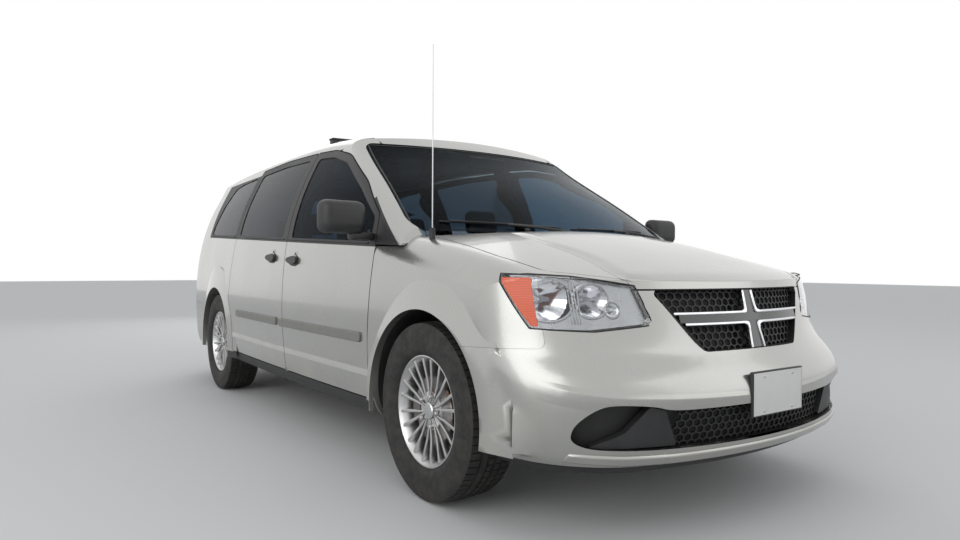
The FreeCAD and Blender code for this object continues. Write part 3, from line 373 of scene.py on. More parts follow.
def clear_lens(name):
    """Clear lens of a headlamp with a slight haze."""
    material, tree, shader = start_material(name)
    haze = noise(tree, 14.0, 5.0, 0.6)
    tint = (0.95, 0.96, 0.97)
    dusty = tuple(0.86 * part for part in tint)
    connect(tree, shader, {
        "Base Color": mix_colour(tree, spread(tree, haze, 0.45, 0.8), tint, dusty),
        "Roughness": spread(tree, haze, 0.4, 0.8, 0.01, 0.06),
        "Transmission Weight": 1.0,
        "IOR": 1.08,
        "Specular IOR Level": 1.0,
        "Coat Weight": 0.9,
        "Coat Roughness": 0.01,
    })
    return material


def lamp_plastic(name, colour):
    """Coloured lens with moulded ribs, their grooves painted darker as shade."""
    material, tree, shader = start_material(name)
    inputs = {"Vector": object_point(tree), "Scale": 55.0, "Distortion": 0.0}
    ribs = add_node(tree, "ShaderNodeTexWave", inputs, bands_direction="Z").outputs["Fac"]
    # Painted shade: the grooves of the ribs take this darker colour.
    deep = tuple(0.55 * part for part in colour)
    connect(tree, shader, {
        "Base Color": mix_colour(tree, ribs, deep, colour),
        "Roughness": spread(tree, noise(tree, 20.0), 0.3, 0.7, 0.05, 0.1),
        "Coat Weight": 0.2,
        "Coat Roughness": 0.02,
    })
    add_bump(tree, shader, ribs, 0.3, 0.001)
    return material


def two_part(name, edge_height, low, high):
    """One finish below a height and another above it; each is (colour, metallic, roughness)."""
    material, tree, shader = start_material(name)
    height = add_node(tree, "ShaderNodeSeparateXYZ", {0: object_point(tree)}).outputs["Z"]
    above = math_node(tree, "GREATER_THAN", height, edge_height)
    wear = spread(tree, noise(tree, 30.0, 4.0), 0.3, 0.7, 0.0, 0.1)
    rough = spread(tree, above, 0.0, 1.0, low[2], high[2])
    connect(tree, shader, {
        "Base Color": mix_colour(tree, above, low[0], high[0]),
        "Metallic": spread(tree, above, 0.0, 1.0, low[1], high[1]),
        "Roughness": math_node(tree, "ADD", rough, wear),
    })
    add_bump(tree, shader, noise(tree, 600.0, 2.0), 0.1, 0.0003)
    return material


def glossy_paint(name, colour, roughness=0.3, metallic=0.0, coat=0.5):
    """Painted or printed sheet with slight unevenness and dust."""
    material, tree, shader = start_material(name)
    dust = spread(tree, noise(tree, 16.0, 5.0, 0.6), 0.45, 0.8, 0.0, 0.35)
    dusty = tuple(0.75 * part + 0.06 for part in colour)
    connect(tree, shader, {
        "Base Color": mix_colour(tree, dust, colour, dusty),
        "Roughness": spread(tree, dust, 0.0, 0.35, roughness, roughness + 0.2),
        "Metallic": metallic,
        "Coat Weight": coat,
        "Coat Roughness": 0.08,
    })
    add_bump(tree, shader, noise(tree, 120.0, 3.0), 0.05, 0.0003)
    return material


def mirror_silver(name):
    """Silvered glass with faint smears."""
    material, tree, shader = start_material(name)
    smear = spread(tree, noise(tree, 9.0, 4.0), 0.4, 0.8, 0.01, 0.05)
    connect(tree, shader, {"Base Color": (0.82, 0.84, 0.86, 1.0), "Metallic": 1.0, "Roughness": smear})
    return material


def brake_iron(name, axle_x):
    """Turned disc with fine rings about the axle and patches of rust."""
    material, tree, shader = start_material(name)
    inputs = {"Vector": object_point(tree), "Location": (-axle_x, 0.0, -AXLE_Z)}
    centred = add_node(tree, "ShaderNodeMapping", inputs).outputs[0]
    rings = add_node(tree, "ShaderNodeTexWave", {"Vector": centred, "Scale": 240.0}, wave_type="RINGS",
                     rings_direction="Y")
    rust = spread(tree, noise(tree, 22.0, 5.0, 0.6), 0.5, 0.7)
    connect(tree, shader, {
        "Base Color": mix_colour(tree, rust, (0.34, 0.33, 0.32), (0.20, 0.12, 0.07)),
        "Roughness": spread(tree, rust, 0.0, 1.0, 0.35, 0.7),
        "Metallic": 0.85,
    })
    add_bump(tree, shader, rings.outputs["Fac"], 0.2, 0.0004)
    return material


# Mesh helpers

def dress(node_name, material):
    """Give a solid of the frame its material."""
    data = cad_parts[node_name].data
    data.materials.clear()
    data.materials.append(material)


def finish_piece(name, shape, material, body="root"):
    """Turn a bmesh into a piece that rides on a body."""
    data = bpy.data.meshes.new(name)
    shape.to_mesh(data)
    shape.free()
    for polygon in data.polygons:
        polygon.use_smooth = True
    data.set_sharp_from_angle(angle=SMOOTH_ANGLE)
    piece = bpy.data.objects.new(name, data)
    bpy.context.scene.collection.objects.link(piece)
    data.materials.append(material)
    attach(piece, body)
    return piece


def all_parts(shape):
    """A shape's vertices, edges and faces."""
    return shape.verts[:] + shape.edges[:] + shape.faces[:]


def new_verts(result):
    """The vertices that an operator made."""
    return [part for part in result["geom"] if isinstance(part, bmesh.types.BMVert)]


def bevel_edges(shape, width, segments):
    """Round all edges of a shape."""
    bmesh.ops.bevel(shape, geom=shape.edges[:], offset=width, affect="EDGES", segments=segments, profile=0.5,
                    material=-1)


def rectangle(u_start, u_end, v_start, v_end):
    """The corners of a rectangle."""
    return ((u_start, v_start), (u_start, v_end), (u_end, v_end), (u_end, v_start))


def oval(u, v, wide, tall, count):
    """Points round an oval, from its half width and half height."""
    turns = [math.tau * number / count for number in range(count)]
    return [(u + wide * math.cos(turn), v + tall * math.sin(turn)) for turn in turns]


def tyre_mesh(tyre, centre, outward):
    """A tyre with four grooves and shoulder blocks; one pitch is made and repeated."""
    half = tyre.width / 2
    crown = tyre.radius
    low = crown - tyre.groove
    # Rows of the tread: distance from its middle, whether the row lies in a groove
    rows = [(-0.100, 0), (-0.082, 0), (-0.058, 0), (-0.055, 1), (-0.048, 1), (-0.045, 0), (-0.022, 0),
            (-0.019, 1), (-0.012, 1), (-0.009, 0), (0.009, 0), (0.012, 1), (0.019, 1), (0.022, 0),
            (0.045, 0), (0.048, 1), (0.055, 1), (0.058, 0), (0.082, 0), (0.100, 0)]
    # Side wall: distance from the tyre's middle, radius
    wall = [(-0.079, tyre.bead), (-0.088, tyre.bead + 0.010), (-0.100, tyre.bead + 0.017),
            (-half + 0.004, tyre.bead + 0.034), (-half, tyre.bead + 0.062),
            (-half + 0.001, tyre.bead + 0.085), (-half + 0.006, crown - 0.030), (-0.104, crown - 0.014)]
    profile = list(wall)
    for across, sunk in rows:
        round_off = 0.006 * (abs(across) / 0.1) ** 3
        profile.append((across, (low if sunk else crown) - round_off))
    profile.extend((-across, reach) for across, reach in reversed(wall))
    shape = bmesh.new()
    pitch = math.tau / tyre.pitches
    # Shares of a pitch at which it has a row of points; the first strip is the cut between two blocks
    strips = (0.0, 0.16, 0.5, 1.0)
    columns = []
    for share in strips:
        angle = pitch * share
        column = []
        for across, reach in profile:
            place = (centre[0] + reach * math.sin(angle), centre[1] + outward * across,
                     centre[2] + reach * math.cos(angle))
            column.append(shape.verts.new(place))
        columns.append(column)
    first_row = len(wall)
    shoulder = {first_row, first_row + 1, first_row + len(rows) - 2, first_row + len(rows) - 3}
    cuts = []
    for number in range(len(strips) - 1):
        for row in range(len(profile) - 1):
            face = shape.faces.new((columns[number][row], columns[number + 1][row],
                                    columns[number + 1][row + 1], columns[number][row + 1]))
            inner = first_row + 5 <= row <= first_row + len(rows) - 7
            if number == 0 and (row in shoulder or (inner and (row - first_row) % 5 in (0, 4))):
                cuts.append(face)
    made = bmesh.ops.extrude_face_region(shape, geom=cuts)
    bmesh.ops.delete(shape, geom=cuts, context="FACES_ONLY")
    for vert in new_verts(made):
        out = Vector((vert.co.x - centre[0], 0, vert.co.z - centre[2]))
        vert.co -= out.normalized() * tyre.groove * 0.8
    bmesh.ops.spin(shape, geom=all_parts(shape), cent=centre, axis=(0, 1, 0), angle=math.tau - pitch,
                   steps=tyre.pitches - 1, use_duplicate=True)
    bmesh.ops.remove_doubles(shape, verts=shape.verts, dist=0.00005)
    bmesh.ops.recalc_face_normals(shape, faces=shape.faces)
    return shape


class Skin:
    """The outside of some solids of the frame, found by casting rays at them."""

    def __init__(self, *names):
        corners = []
        faces = []
        for name in names:
            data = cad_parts[name].data
            first = len(corners)
            corners.extend(vertex.co.copy() for vertex in data.vertices)
            faces.extend([first + number for number in polygon.vertices] for polygon in data.polygons)
        self.tree = BVHTree.FromPolygons(corners, faces)
        self.low = Vector(min(corner[axis] for corner in corners) for axis in range(3))
        self.high = Vector(max(corner[axis] for corner in corners) for axis in range(3))

    def point(self, view, u, v, proud=0.0):
        """The point of the surface seen at (u, v), lifted outwards along the view."""
        u_axis, v_axis, depth_axis, sign = VIEWS[view]
        start = Vector((0, 0, 0))
        start[u_axis] = u
        start[v_axis] = v
        start[depth_axis] = sign * FAR
        inward = Vector((0, 0, 0))
        inward[depth_axis] = -sign
        place = self.tree.ray_cast(start, inward)[0]
        if place is None:
            # The ray misses, so the point slides along the view to the depth of the nearest surface
            place = start.copy()
            place[depth_axis] = self.high[depth_axis] if sign > 0 else self.low[depth_axis]
            for _ in range(6):
                near = self.tree.find_nearest(place)[0]
                place[depth_axis] = near[depth_axis]
        start[depth_axis] = place[depth_axis] + sign * proud
        return start


class SpanFace:
    """The face across an opening of the nose, straight from the skin below it to the skin above it."""

    def __init__(self, skin, low, high):
        self.skin = skin
        self.low = low
        self.high = high

    def point(self, view, u, v, proud=0.0):
        """The point of the face seen from the front at (u, v), lifted forwards."""
        below = self.skin.point(view, u, self.low).x
        above = self.skin.point(view, u, self.high).x
        share = (v - self.low) / (self.high - self.low)
        return Vector((below + (above - below) * share + proud, u, v))


def rounded(outline, times=2):
    """Cut an outline's corners until it runs smoothly."""
    for _ in range(times):
        sides = zip(outline, outline[1:] + outline[:1])
        outline = [(a[0] + share * (b[0] - a[0]), a[1] + share * (b[1] - a[1]))
                   for a, b in sides for share in (0.25, 0.75)]
    return outline


def flat_outline(outline, corner=0.0):
    """A face in the plane of its outline, with its corners rounded."""
    shape = bmesh.new()
    shape.faces.new([shape.verts.new((u, v, 0)) for u, v in outline])
    if corner:
        bmesh.ops.bevel(shape, geom=shape.verts[:], offset=corner, affect="VERTICES", segments=5, profile=0.5,
                        material=-1, clamp_overlap=True)
    return shape


def cut_grid(shape, cell):
    """Cut a flat shape into cells, so that it can bend."""
    for axis in (0, 1):
        low = min(vert.co[axis] for vert in shape.verts)
        high = max(vert.co[axis] for vert in shape.verts)
        cuts = int((high - low) / cell)
        for number in range(1, cuts + 1):
            place = Vector((0, 0, 0))
            place[axis] = low + (high - low) * number / (cuts + 1)
            normal = Vector((0, 0, 0))
            normal[axis] = 1
            bmesh.ops.bisect_plane(shape, geom=all_parts(shape), plane_co=place, plane_no=normal)


def face_outwards(shape, axis, sign):
    """Turn a sheet's faces so that most of them look along an axis."""
    shape.normal_update()
    if sum(face.normal[axis] * face.calc_area() for face in shape.faces) * sign < 0:
        bmesh.ops.reverse_faces(shape, faces=shape.faces[:])


def thicken(piece, depth):
    """Give a sheet a wall behind it, with a sharp rim."""
    uses = {}
    for polygon in piece.data.polygons:
        for key in polygon.edge_keys:
            uses[key] = uses.get(key, 0) + 1
    for edge in piece.data.edges:
        edge.use_edge_sharp = edge.use_edge_sharp or uses[edge.key] == 1
    wall = piece.modifiers.new("wall", "SOLIDIFY")
    wall.thickness = depth
    wall.offset = -1.0


def recess(name, skin, outline, material, deep, corner=0.0, cell=0.05):
    """A tub behind an opening of the nose: its floor follows the skin and its wall runs forward to it."""
    shape = flat_outline(outline, corner)
    cut_grid(shape, cell)
    rim = [edge for edge in shape.edges if edge.is_boundary]
    front = set(new_verts(bmesh.ops.extrude_edge_only(shape, edges=rim)))
    for vert in shape.verts:
        vert.co = skin.point("front", vert.co.x, vert.co.y, -0.0015 if vert in front else -deep)
    bmesh.ops.recalc_face_normals(shape, faces=shape.faces)
    face_outwards(shape, 0, 1)
    piece = finish_piece(name, shape, material)
    thicken(piece, 0.002)
    return piece


def honeycomb(name, skin, outline, material, pitch, bar, set_back, depth, squash=0.82):
    """A hexagonal mesh cut to a convex outline of the nose and bent to the skin behind it."""
    shape = bmesh.new()
    radius = pitch / math.sqrt(3)
    low = [min(spot[axis] for spot in outline) for axis in (0, 1)]
    high = [max(spot[axis] for spot in outline) for axis in (0, 1)]
    rise = 1.5 * radius
    for row in range(int((high[1] - low[1]) / (rise * squash)) + 2):
        for column in range(int((high[0] - low[0]) / pitch) + 2):
            spot = Matrix.Translation((low[0] + pitch * (column + 0.5 * (row % 2)), rise * row, 0))
            bmesh.ops.create_circle(shape, cap_ends=True, segments=6, radius=radius, matrix=spot)
    bmesh.ops.remove_doubles(shape, verts=shape.verts, dist=pitch / 30)
    bmesh.ops.inset_individual(shape, faces=shape.faces[:], thickness=bar / 2, use_even_offset=True)
    holes = [face for face in shape.faces if len(face.verts) == 6]
    bmesh.ops.delete(shape, geom=holes, context="FACES")
    for vert in shape.verts:
        vert.co.y = low[1] + vert.co.y * squash
    middle = Vector((sum(u for u, _ in outline), sum(v for _, v in outline), 0)) / len(outline)
    for first, second in zip(outline, outline[1:] + outline[:1]):
        start = Vector((*first, 0))
        along = Vector((*second, 0)) - start
        outward = Vector((along.y, -along.x, 0))
        if outward.dot(middle - start) > 0:
            outward.negate()
        bmesh.ops.bisect_plane(shape, geom=all_parts(shape), plane_co=start, plane_no=outward,
                               clear_outer=True)
    for vert in shape.verts:
        vert.co = skin.point("front", vert.co.x, vert.co.y, -set_back)
    face_outwards(shape, 0, 1)
    piece = finish_piece(name, shape, material)
    thicken(piece, depth)
    return piece


def draped(name, skin, view, outline, material, body="root", corner=0.0, ring=0.0,
           proud=0.004, depth=0.006, cell=0.06, edge=0.0012):
    """A sheet cut to an outline, laid on a skin and thickened inwards, with its edges softened."""
    _, _, depth_axis, sign = VIEWS[view]
    shape = flat_outline(outline, corner)
    if ring:
        rim = bmesh.ops.inset_region(shape, faces=shape.faces[:], thickness=ring, use_even_offset=True,
                                     use_boundary=True)["faces"]
        inner = [face for face in shape.faces if face not in rim]
        bmesh.ops.delete(shape, geom=inner, context="FACES")
    cut_grid(shape, cell)
    for vert in shape.verts:
        vert.co = skin.point(view, vert.co.x, vert.co.y, proud)
    face_outwards(shape, depth_axis, sign)
    piece = finish_piece(name, shape, material, body)
    thicken(piece, depth)
    soften(piece, edge)
    return piece


def soften(piece, width, segments=2):
    """Round a piece's sharp edges."""
    edge = piece.modifiers.new("edge", "BEVEL")
    edge.width = width
    edge.segments = segments
    edge.limit_method = "ANGLE"
    edge.angle_limit = math.radians(40)


def along_run(skin, view, points, proud, step=0.05):
    """Points of the surface under a run of (u, v) points, a step apart."""
    found = []
    for (u_start, v_start), (u_end, v_end) in zip(points, points[1:]):
        count = max(1, round(math.hypot(u_end - u_start, v_end - v_start) / step))
        for number in range(count):
            share = number / count
            found.append(skin.point(view, u_start + (u_end - u_start) * share,
                                    v_start + (v_end - v_start) * share, proud))
    found.append(skin.point(view, *points[-1], proud))
    return found


def tube(name, points, radius, material, body="root", cyclic=False):
    """A round strip along a run of points."""
    curve = bpy.data.curves.new(name + "_line", "CURVE")
    curve.dimensions = "3D"
    curve.bevel_depth = radius
    curve.bevel_resolution = 2
    curve.use_fill_caps = True
    line = curve.splines.new("POLY")
    line.points.add(len(points) - 1)
    for spot, place in zip(line.points, points):
        spot.co = (*place, 1.0)
    line.use_cyclic_u = cyclic
    maker = bpy.data.objects.new(name + "_line", curve)
    data = bpy.data.meshes.new_from_object(maker)
    bpy.data.objects.remove(maker)
    bpy.data.curves.remove(curve)
    shape = bmesh.new()
    shape.from_mesh(data)
    bpy.data.meshes.remove(data)
    return finish_piece(name, shape, material, body)


def lathe(name, profile, centre, axis, material, body="root", steps=32, flutes=0.0):
    """Spin (distance along the axis, radius) points about an axis; flutes draw every other step inwards."""
    shape = bmesh.new()
    turn = Vector((0, 0, 1)).rotation_difference(Vector(axis)).to_matrix()
    verts = [shape.verts.new((radius, 0, along)) for along, radius in profile]
    edges = [shape.edges.new(pair) for pair in zip(verts, verts[1:])]
    bmesh.ops.spin(shape, geom=verts + edges, cent=(0, 0, 0), axis=(0, 0, 1), angle=math.tau, steps=steps,
                   use_merge=True)
    bmesh.ops.remove_doubles(shape, verts=shape.verts, dist=0.00002)
    if flutes:
        for vert in shape.verts:
            number = round(math.atan2(vert.co.y, vert.co.x) / math.tau * steps)
            if number % 2:
                vert.co.xy *= 1 - flutes
    bmesh.ops.recalc_face_normals(shape, faces=shape.faces)
    bmesh.ops.transform(shape, matrix=Matrix.Translation(centre) @ turn.to_4x4(), verts=shape.verts)
    return finish_piece(name, shape, material, body)


def block(name, low, high, material, body="root", round_off=0.004, taper=1.0):
    """A moulded block between two corners with rounded edges; taper is how much narrower its top is."""
    shape = bmesh.new()
    bmesh.ops.create_cube(shape, size=1.0)
    size = Vector(high) - Vector(low)
    for vert in shape.verts:
        if vert.co.z > 0:
            vert.co.x *= taper
            vert.co.y *= taper
        vert.co = Vector((vert.co.x * size.x, vert.co.y * size.y, vert.co.z * size.z))
    bevel_edges(shape, round_off, 3)
    bmesh.ops.translate(shape, verts=shape.verts, vec=(Vector(high) + Vector(low)) / 2)
    return finish_piece(name, shape, material, body)


def belt(x):
    """Height of the window line."""
    return BELT_Z - BELT_DROP * x


class MINIVAN_OT_paint(bpy.types.Operator):
    """Paint the body panels"""
    bl_idname = "minivan.paint"
    bl_label = "Body paint"

    def execute(self, context):
        paint = context.scene.minivan_paint
        plain = body_paint("silver_paint", paint)
        door = body_paint("silver_paint_door", paint, "door")
        side = body_paint("silver_paint_side", paint, "side")
        for name in ("roof", "hood", "fender_left", "fender_right", "rear_bumper", "liftgate"):
            dress(name, plain)
        dress("front_bumper", body_paint("silver_paint_bumper", paint, "bumper"))
        for side_name, _ in SIDES:
            dress("front_door_" + side_name, door)
            dress("sliding_door_" + side_name, door)
            dress("body_side_" + side_name, side)
        return {"FINISHED"}


class MINIVAN_OT_glass(bpy.types.Operator):
    """Glaze the cabin"""
    bl_idname = "minivan.glass"
    bl_label = "Window glass"

    def execute(self, context):
        # These tints are partly the glass's own tint and partly painted shade of the cabin behind it.
        clear = window_glass("windscreen_glass", (0.20, 0.28, 0.33), 1.07)
        door_glass = window_glass("door_glass", (0.10, 0.18, 0.26), 1.07)
        privacy = window_glass("privacy_glass", (0.05, 0.065, 0.085), 1.14)
        dress("windscreen", clear)
        dress("front_door_glass_left", door_glass)
        dress("front_door_glass_right", door_glass)
        dress("side_glass", privacy)
        dress("liftgate_glass", privacy)
        return {"FINISHED"}


class MINIVAN_OT_running_gear(bpy.types.Operator):
    """Finish the underbody, engine, axles and exhaust"""
    bl_idname = "minivan.running_gear"
    bl_label = "Running gear"

    def execute(self, context):
        black = bare_metal("chassis_black", (0.035, 0.034, 0.033), 0.55, metallic=0.3)
        cast = bare_metal("cast_iron", (0.16, 0.14, 0.12), 0.6, metallic=0.8, bump=0.3)
        alloy = bare_metal("engine_alloy", (0.42, 0.42, 0.43), 0.45, bump=0.3)
        pipe = bare_metal("exhaust_steel", (0.36, 0.31, 0.26), 0.4)
        for name in ("underbody", "rear_axle", "front_subframe", "front_struts"):
            dress(name, black)
        dress("engine", alloy)
        dress("exhaust", pipe)
        for side_name, _ in SIDES:
            dress("knuckle_" + side_name, cast)
        return {"FINISHED"}


class MINIVAN_OT_trim(bpy.types.Operator):
    """Finish the plastic trim"""
    bl_idname = "minivan.trim"
    bl_label = "Plastic trim"

    def execute(self, context):
        black = moulded_plastic("black_plastic", (0.018, 0.018, 0.019), 0.5)
        dash = moulded_plastic("dash_plastic", (0.045, 0.045, 0.048), 0.7, grain=0.5, scale=400.0)
        # The sill cladding is black as painted shade under the doors; the cowl, wheel liners and fuel tank
        # are black plastic.
        for name in ("cowl", "wheel_liners", "fuel_tank", "sill_cladding"):
            dress(name, black)
        foot = ((0.02, 0.02, 0.02), 0.0, 0.5)
        rod = ((0.55, 0.56, 0.57), 1.0, 0.25)
        dress("antenna", two_part("antenna_mast", 1.112, foot, rod))
        dress("dashboard", dash)
        dress("steering_wheel", dash)
        return {"FINISHED"}


class MINIVAN_OT_lamps(bpy.types.Operator):
    """Fit the reflectors, bulbs, amber panels and seals of the headlamps, and finish the head and tail lamp
    lenses
    """
    bl_idname = "minivan.lamps"
    bl_label = "Lamps"

    # Reflector bowls: x of the floor, y, z, floor radius, rim radius, depth
    bowls = ((2.120, 0.786, 0.836, 0.028, 0.073, 0.108), (2.200, 0.657, 0.834, 0.024, 0.059, 0.108),
             (2.290, 0.590, 0.800, 0.011, 0.0235, 0.058))
    lens_outline = ((0.471, 0.751), (0.515, 0.881), (0.700, 0.911), (0.845, 0.921), (0.845, 0.737),
                    (0.672, 0.731))
    # Bulb: distance along its axis, radius
    bulb = ((0.0, 0.009), (0.016, 0.009), (0.019, 0.006), (0.030, 0.0055), (0.040, 0.0035), (0.042, 0.0))
    # Seal round the lens, seen from the front and from the side
    seal_front = ((0.80, 0.7335), (0.672, 0.727), (0.466, 0.747), (0.512, 0.884), (0.70, 0.915),
                  (0.83, 0.924))
    seal_side = ((2.045, 0.918), (2.180, 0.738))
    amber_outline = ((2.056, 0.911), (2.160, 0.911), (2.205, 0.744), (2.186, 0.744))

    def execute(self, context):
        chrome = bare_metal("lamp_chrome", (0.74, 0.75, 0.77), 0.08, scale=12.0, bump=0.0, dull=0.95)
        satin = bare_metal("lamp_satin", (0.46, 0.47, 0.48), 0.25, scale=12.0, bump=0.0, dull=0.94)
        bulb_glass = glossy_paint("bulb_glass", (0.78, 0.80, 0.84), 0.05, coat=1.0)
        amber = lamp_plastic("amber_lens", (0.90, 0.10, 0.006))
        rubber = moulded_plastic("lamp_seal", (0.012, 0.012, 0.012), 0.6)
        dress("headlamp_lenses", clear_lens("headlamp_lens"))
        dress("tail_lamps", self.tail_red())
        lens = Skin("headlamp_lenses")
        for side_name, side in SIDES:
            plate = self.fit_plate(side_name, side, lens, satin)
            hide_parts("headlamp_housings")
            for number, bowl in enumerate(self.bowls):
                self.fit_bowl("%d_%s" % (number, side_name), side, bowl, lens, chrome, bulb_glass)
            draped("amber_panel_" + side_name, lens, side_name, self.amber_outline, amber,
                   corner=0.006, proud=0.0006, depth=0.003, cell=0.02, edge=0.0006)
            for number in range(4):
                y = side * (0.712 + 0.009 * (number - 1.5))
                fin = rectangle(y - 0.0014, y + 0.0014, 0.752, 0.898)
                draped("lamp_fin_%d_%s" % (number, side_name), lens, "front", fin, satin,
                       proud=-0.014, depth=0.012, cell=0.02, edge=0.0006)
            seal = along_run(lens, "front", [(side * y, z) for y, z in self.seal_front], 0.0005, 0.02)
            seal += along_run(lens, side_name, self.seal_side, 0.0005, 0.02)
            tube("lamp_seal_" + side_name, seal, 0.0024, rubber, cyclic=True)
        return {"FINISHED"}

    def fit_bowl(self, tag, side, bowl, lens, chrome, bulb_glass):
        """A fluted reflector with its bezel and its bulb."""
        floor_x, y, z, floor_r, rim_r, deep = bowl
        centre = (floor_x + 0.002, side * y, z)
        profile = ((0.0, 0.006), (0.002, floor_r), (deep * 0.55, floor_r + (rim_r - floor_r) * 0.53),
                   (deep, rim_r))
        piece = lathe("reflector_" + tag, profile, centre, (1, 0, 0), chrome, steps=44,
                      flutes=0.035)
        self.trim_bowl(piece, lens)
        reach = rim_r + 0.004
        draped("bezel_" + tag, lens, "front", oval(side * y, z, reach, reach, 36), chrome,
               ring=0.0075, proud=0.003 - LAMP_FACE_BEHIND, depth=0.006, cell=0.3, edge=0.002)
        lathe("bulb_" + tag, self.bulb, centre, (1, 0, 0), bulb_glass, steps=16)

    def fit_plate(self, side_name, side, lens, satin):
        """The lamp's bright inner face, with an opening for each bowl."""
        shape = bmesh.new()
        loops = [[(side * y, z) for y, z in self.lens_outline]]
        for _, y, z, _, rim_r, _ in self.bowls:
            loops.append(oval(side * y, z, rim_r, rim_r, 36))
        edges = []
        for loop in loops:
            verts = [shape.verts.new((u, v, 0)) for u, v in loop]
            edges += [shape.edges.new(pair) for pair in zip(verts, verts[1:] + verts[:1])]
        bmesh.ops.triangle_fill(shape, edges=edges, use_beauty=True)
        cut_grid(shape, 0.035)
        for vert in shape.verts:
            vert.co = lens.point("front", vert.co.x, vert.co.y, -LAMP_FACE_BEHIND)
        face_outwards(shape, 0, 1)
        piece = finish_piece("lamp_plate_" + side_name, shape, satin)
        thicken(piece, 0.002)
        return piece

    def trim_bowl(self, piece, lens):
        """Draw a bowl's rim back to the lamp's inner face."""
        for vert in piece.data.vertices:
            limit = lens.point("front", vert.co.y, vert.co.z, -LAMP_FACE_BEHIND).x
            vert.co.x = min(vert.co.x, limit)

    def tail_red(self):
        """Red lens with a pale reversing band and an amber band."""
        material = lamp_plastic("tail_lamp_red", (0.42, 0.012, 0.010))
        tree = material.node_tree
        shader = tree.nodes["Principled BSDF"]
        red = shader.inputs["Base Color"].links[0].from_socket
        height = add_node(tree, "ShaderNodeSeparateXYZ", {0: object_point(tree)}).outputs["Z"]
        colour = red
        for low, high, band in ((0.900, 0.965, (0.72, 0.72, 0.70)), (0.968, 1.030, (0.80, 0.16, 0.02))):
            inside = product(tree, math_node(tree, "GREATER_THAN", height, low),
                             math_node(tree, "LESS_THAN", height, high))
            colour = mix_colour(tree, inside, colour, band)
        connect(tree, shader, {"Base Color": colour})
        return material


def smooth_step(share):
    """Ease from 0 to 1."""
    share = max(0.0, min(1.0, share))
    return share * share * (3 - 2 * share)


def cut_copy(name, node_name, cutter):
    """A copy of a solid of the frame with a closed shape cut out of it."""
    scene = bpy.context.scene
    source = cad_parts[node_name].data
    shape = bmesh.new()
    shape.from_mesh(source)
    bmesh.ops.remove_doubles(shape, verts=shape.verts, dist=0.00001)
    pair = []
    for tag, part in (("body", shape), ("tool", cutter)):
        data = bpy.data.meshes.new(tag)
        part.to_mesh(data)
        part.free()
        thing = bpy.data.objects.new(tag, data)
        scene.collection.objects.link(thing)
        pair.append(thing)
    cut = pair[0].modifiers.new("cut", "BOOLEAN")
    cut.operation = "DIFFERENCE"
    cut.solver = "EXACT"
    cut.object = pair[1]
    result = bpy.data.meshes.new_from_object(pair[0].evaluated_get(bpy.context.evaluated_depsgraph_get()))
    for thing in pair:
        data = thing.data
        bpy.data.objects.remove(thing)
        bpy.data.meshes.remove(data)
    shape = bmesh.new()
    shape.from_mesh(result)
    bpy.data.meshes.remove(result)
    return finish_piece(name, shape, source.materials[0], "root")


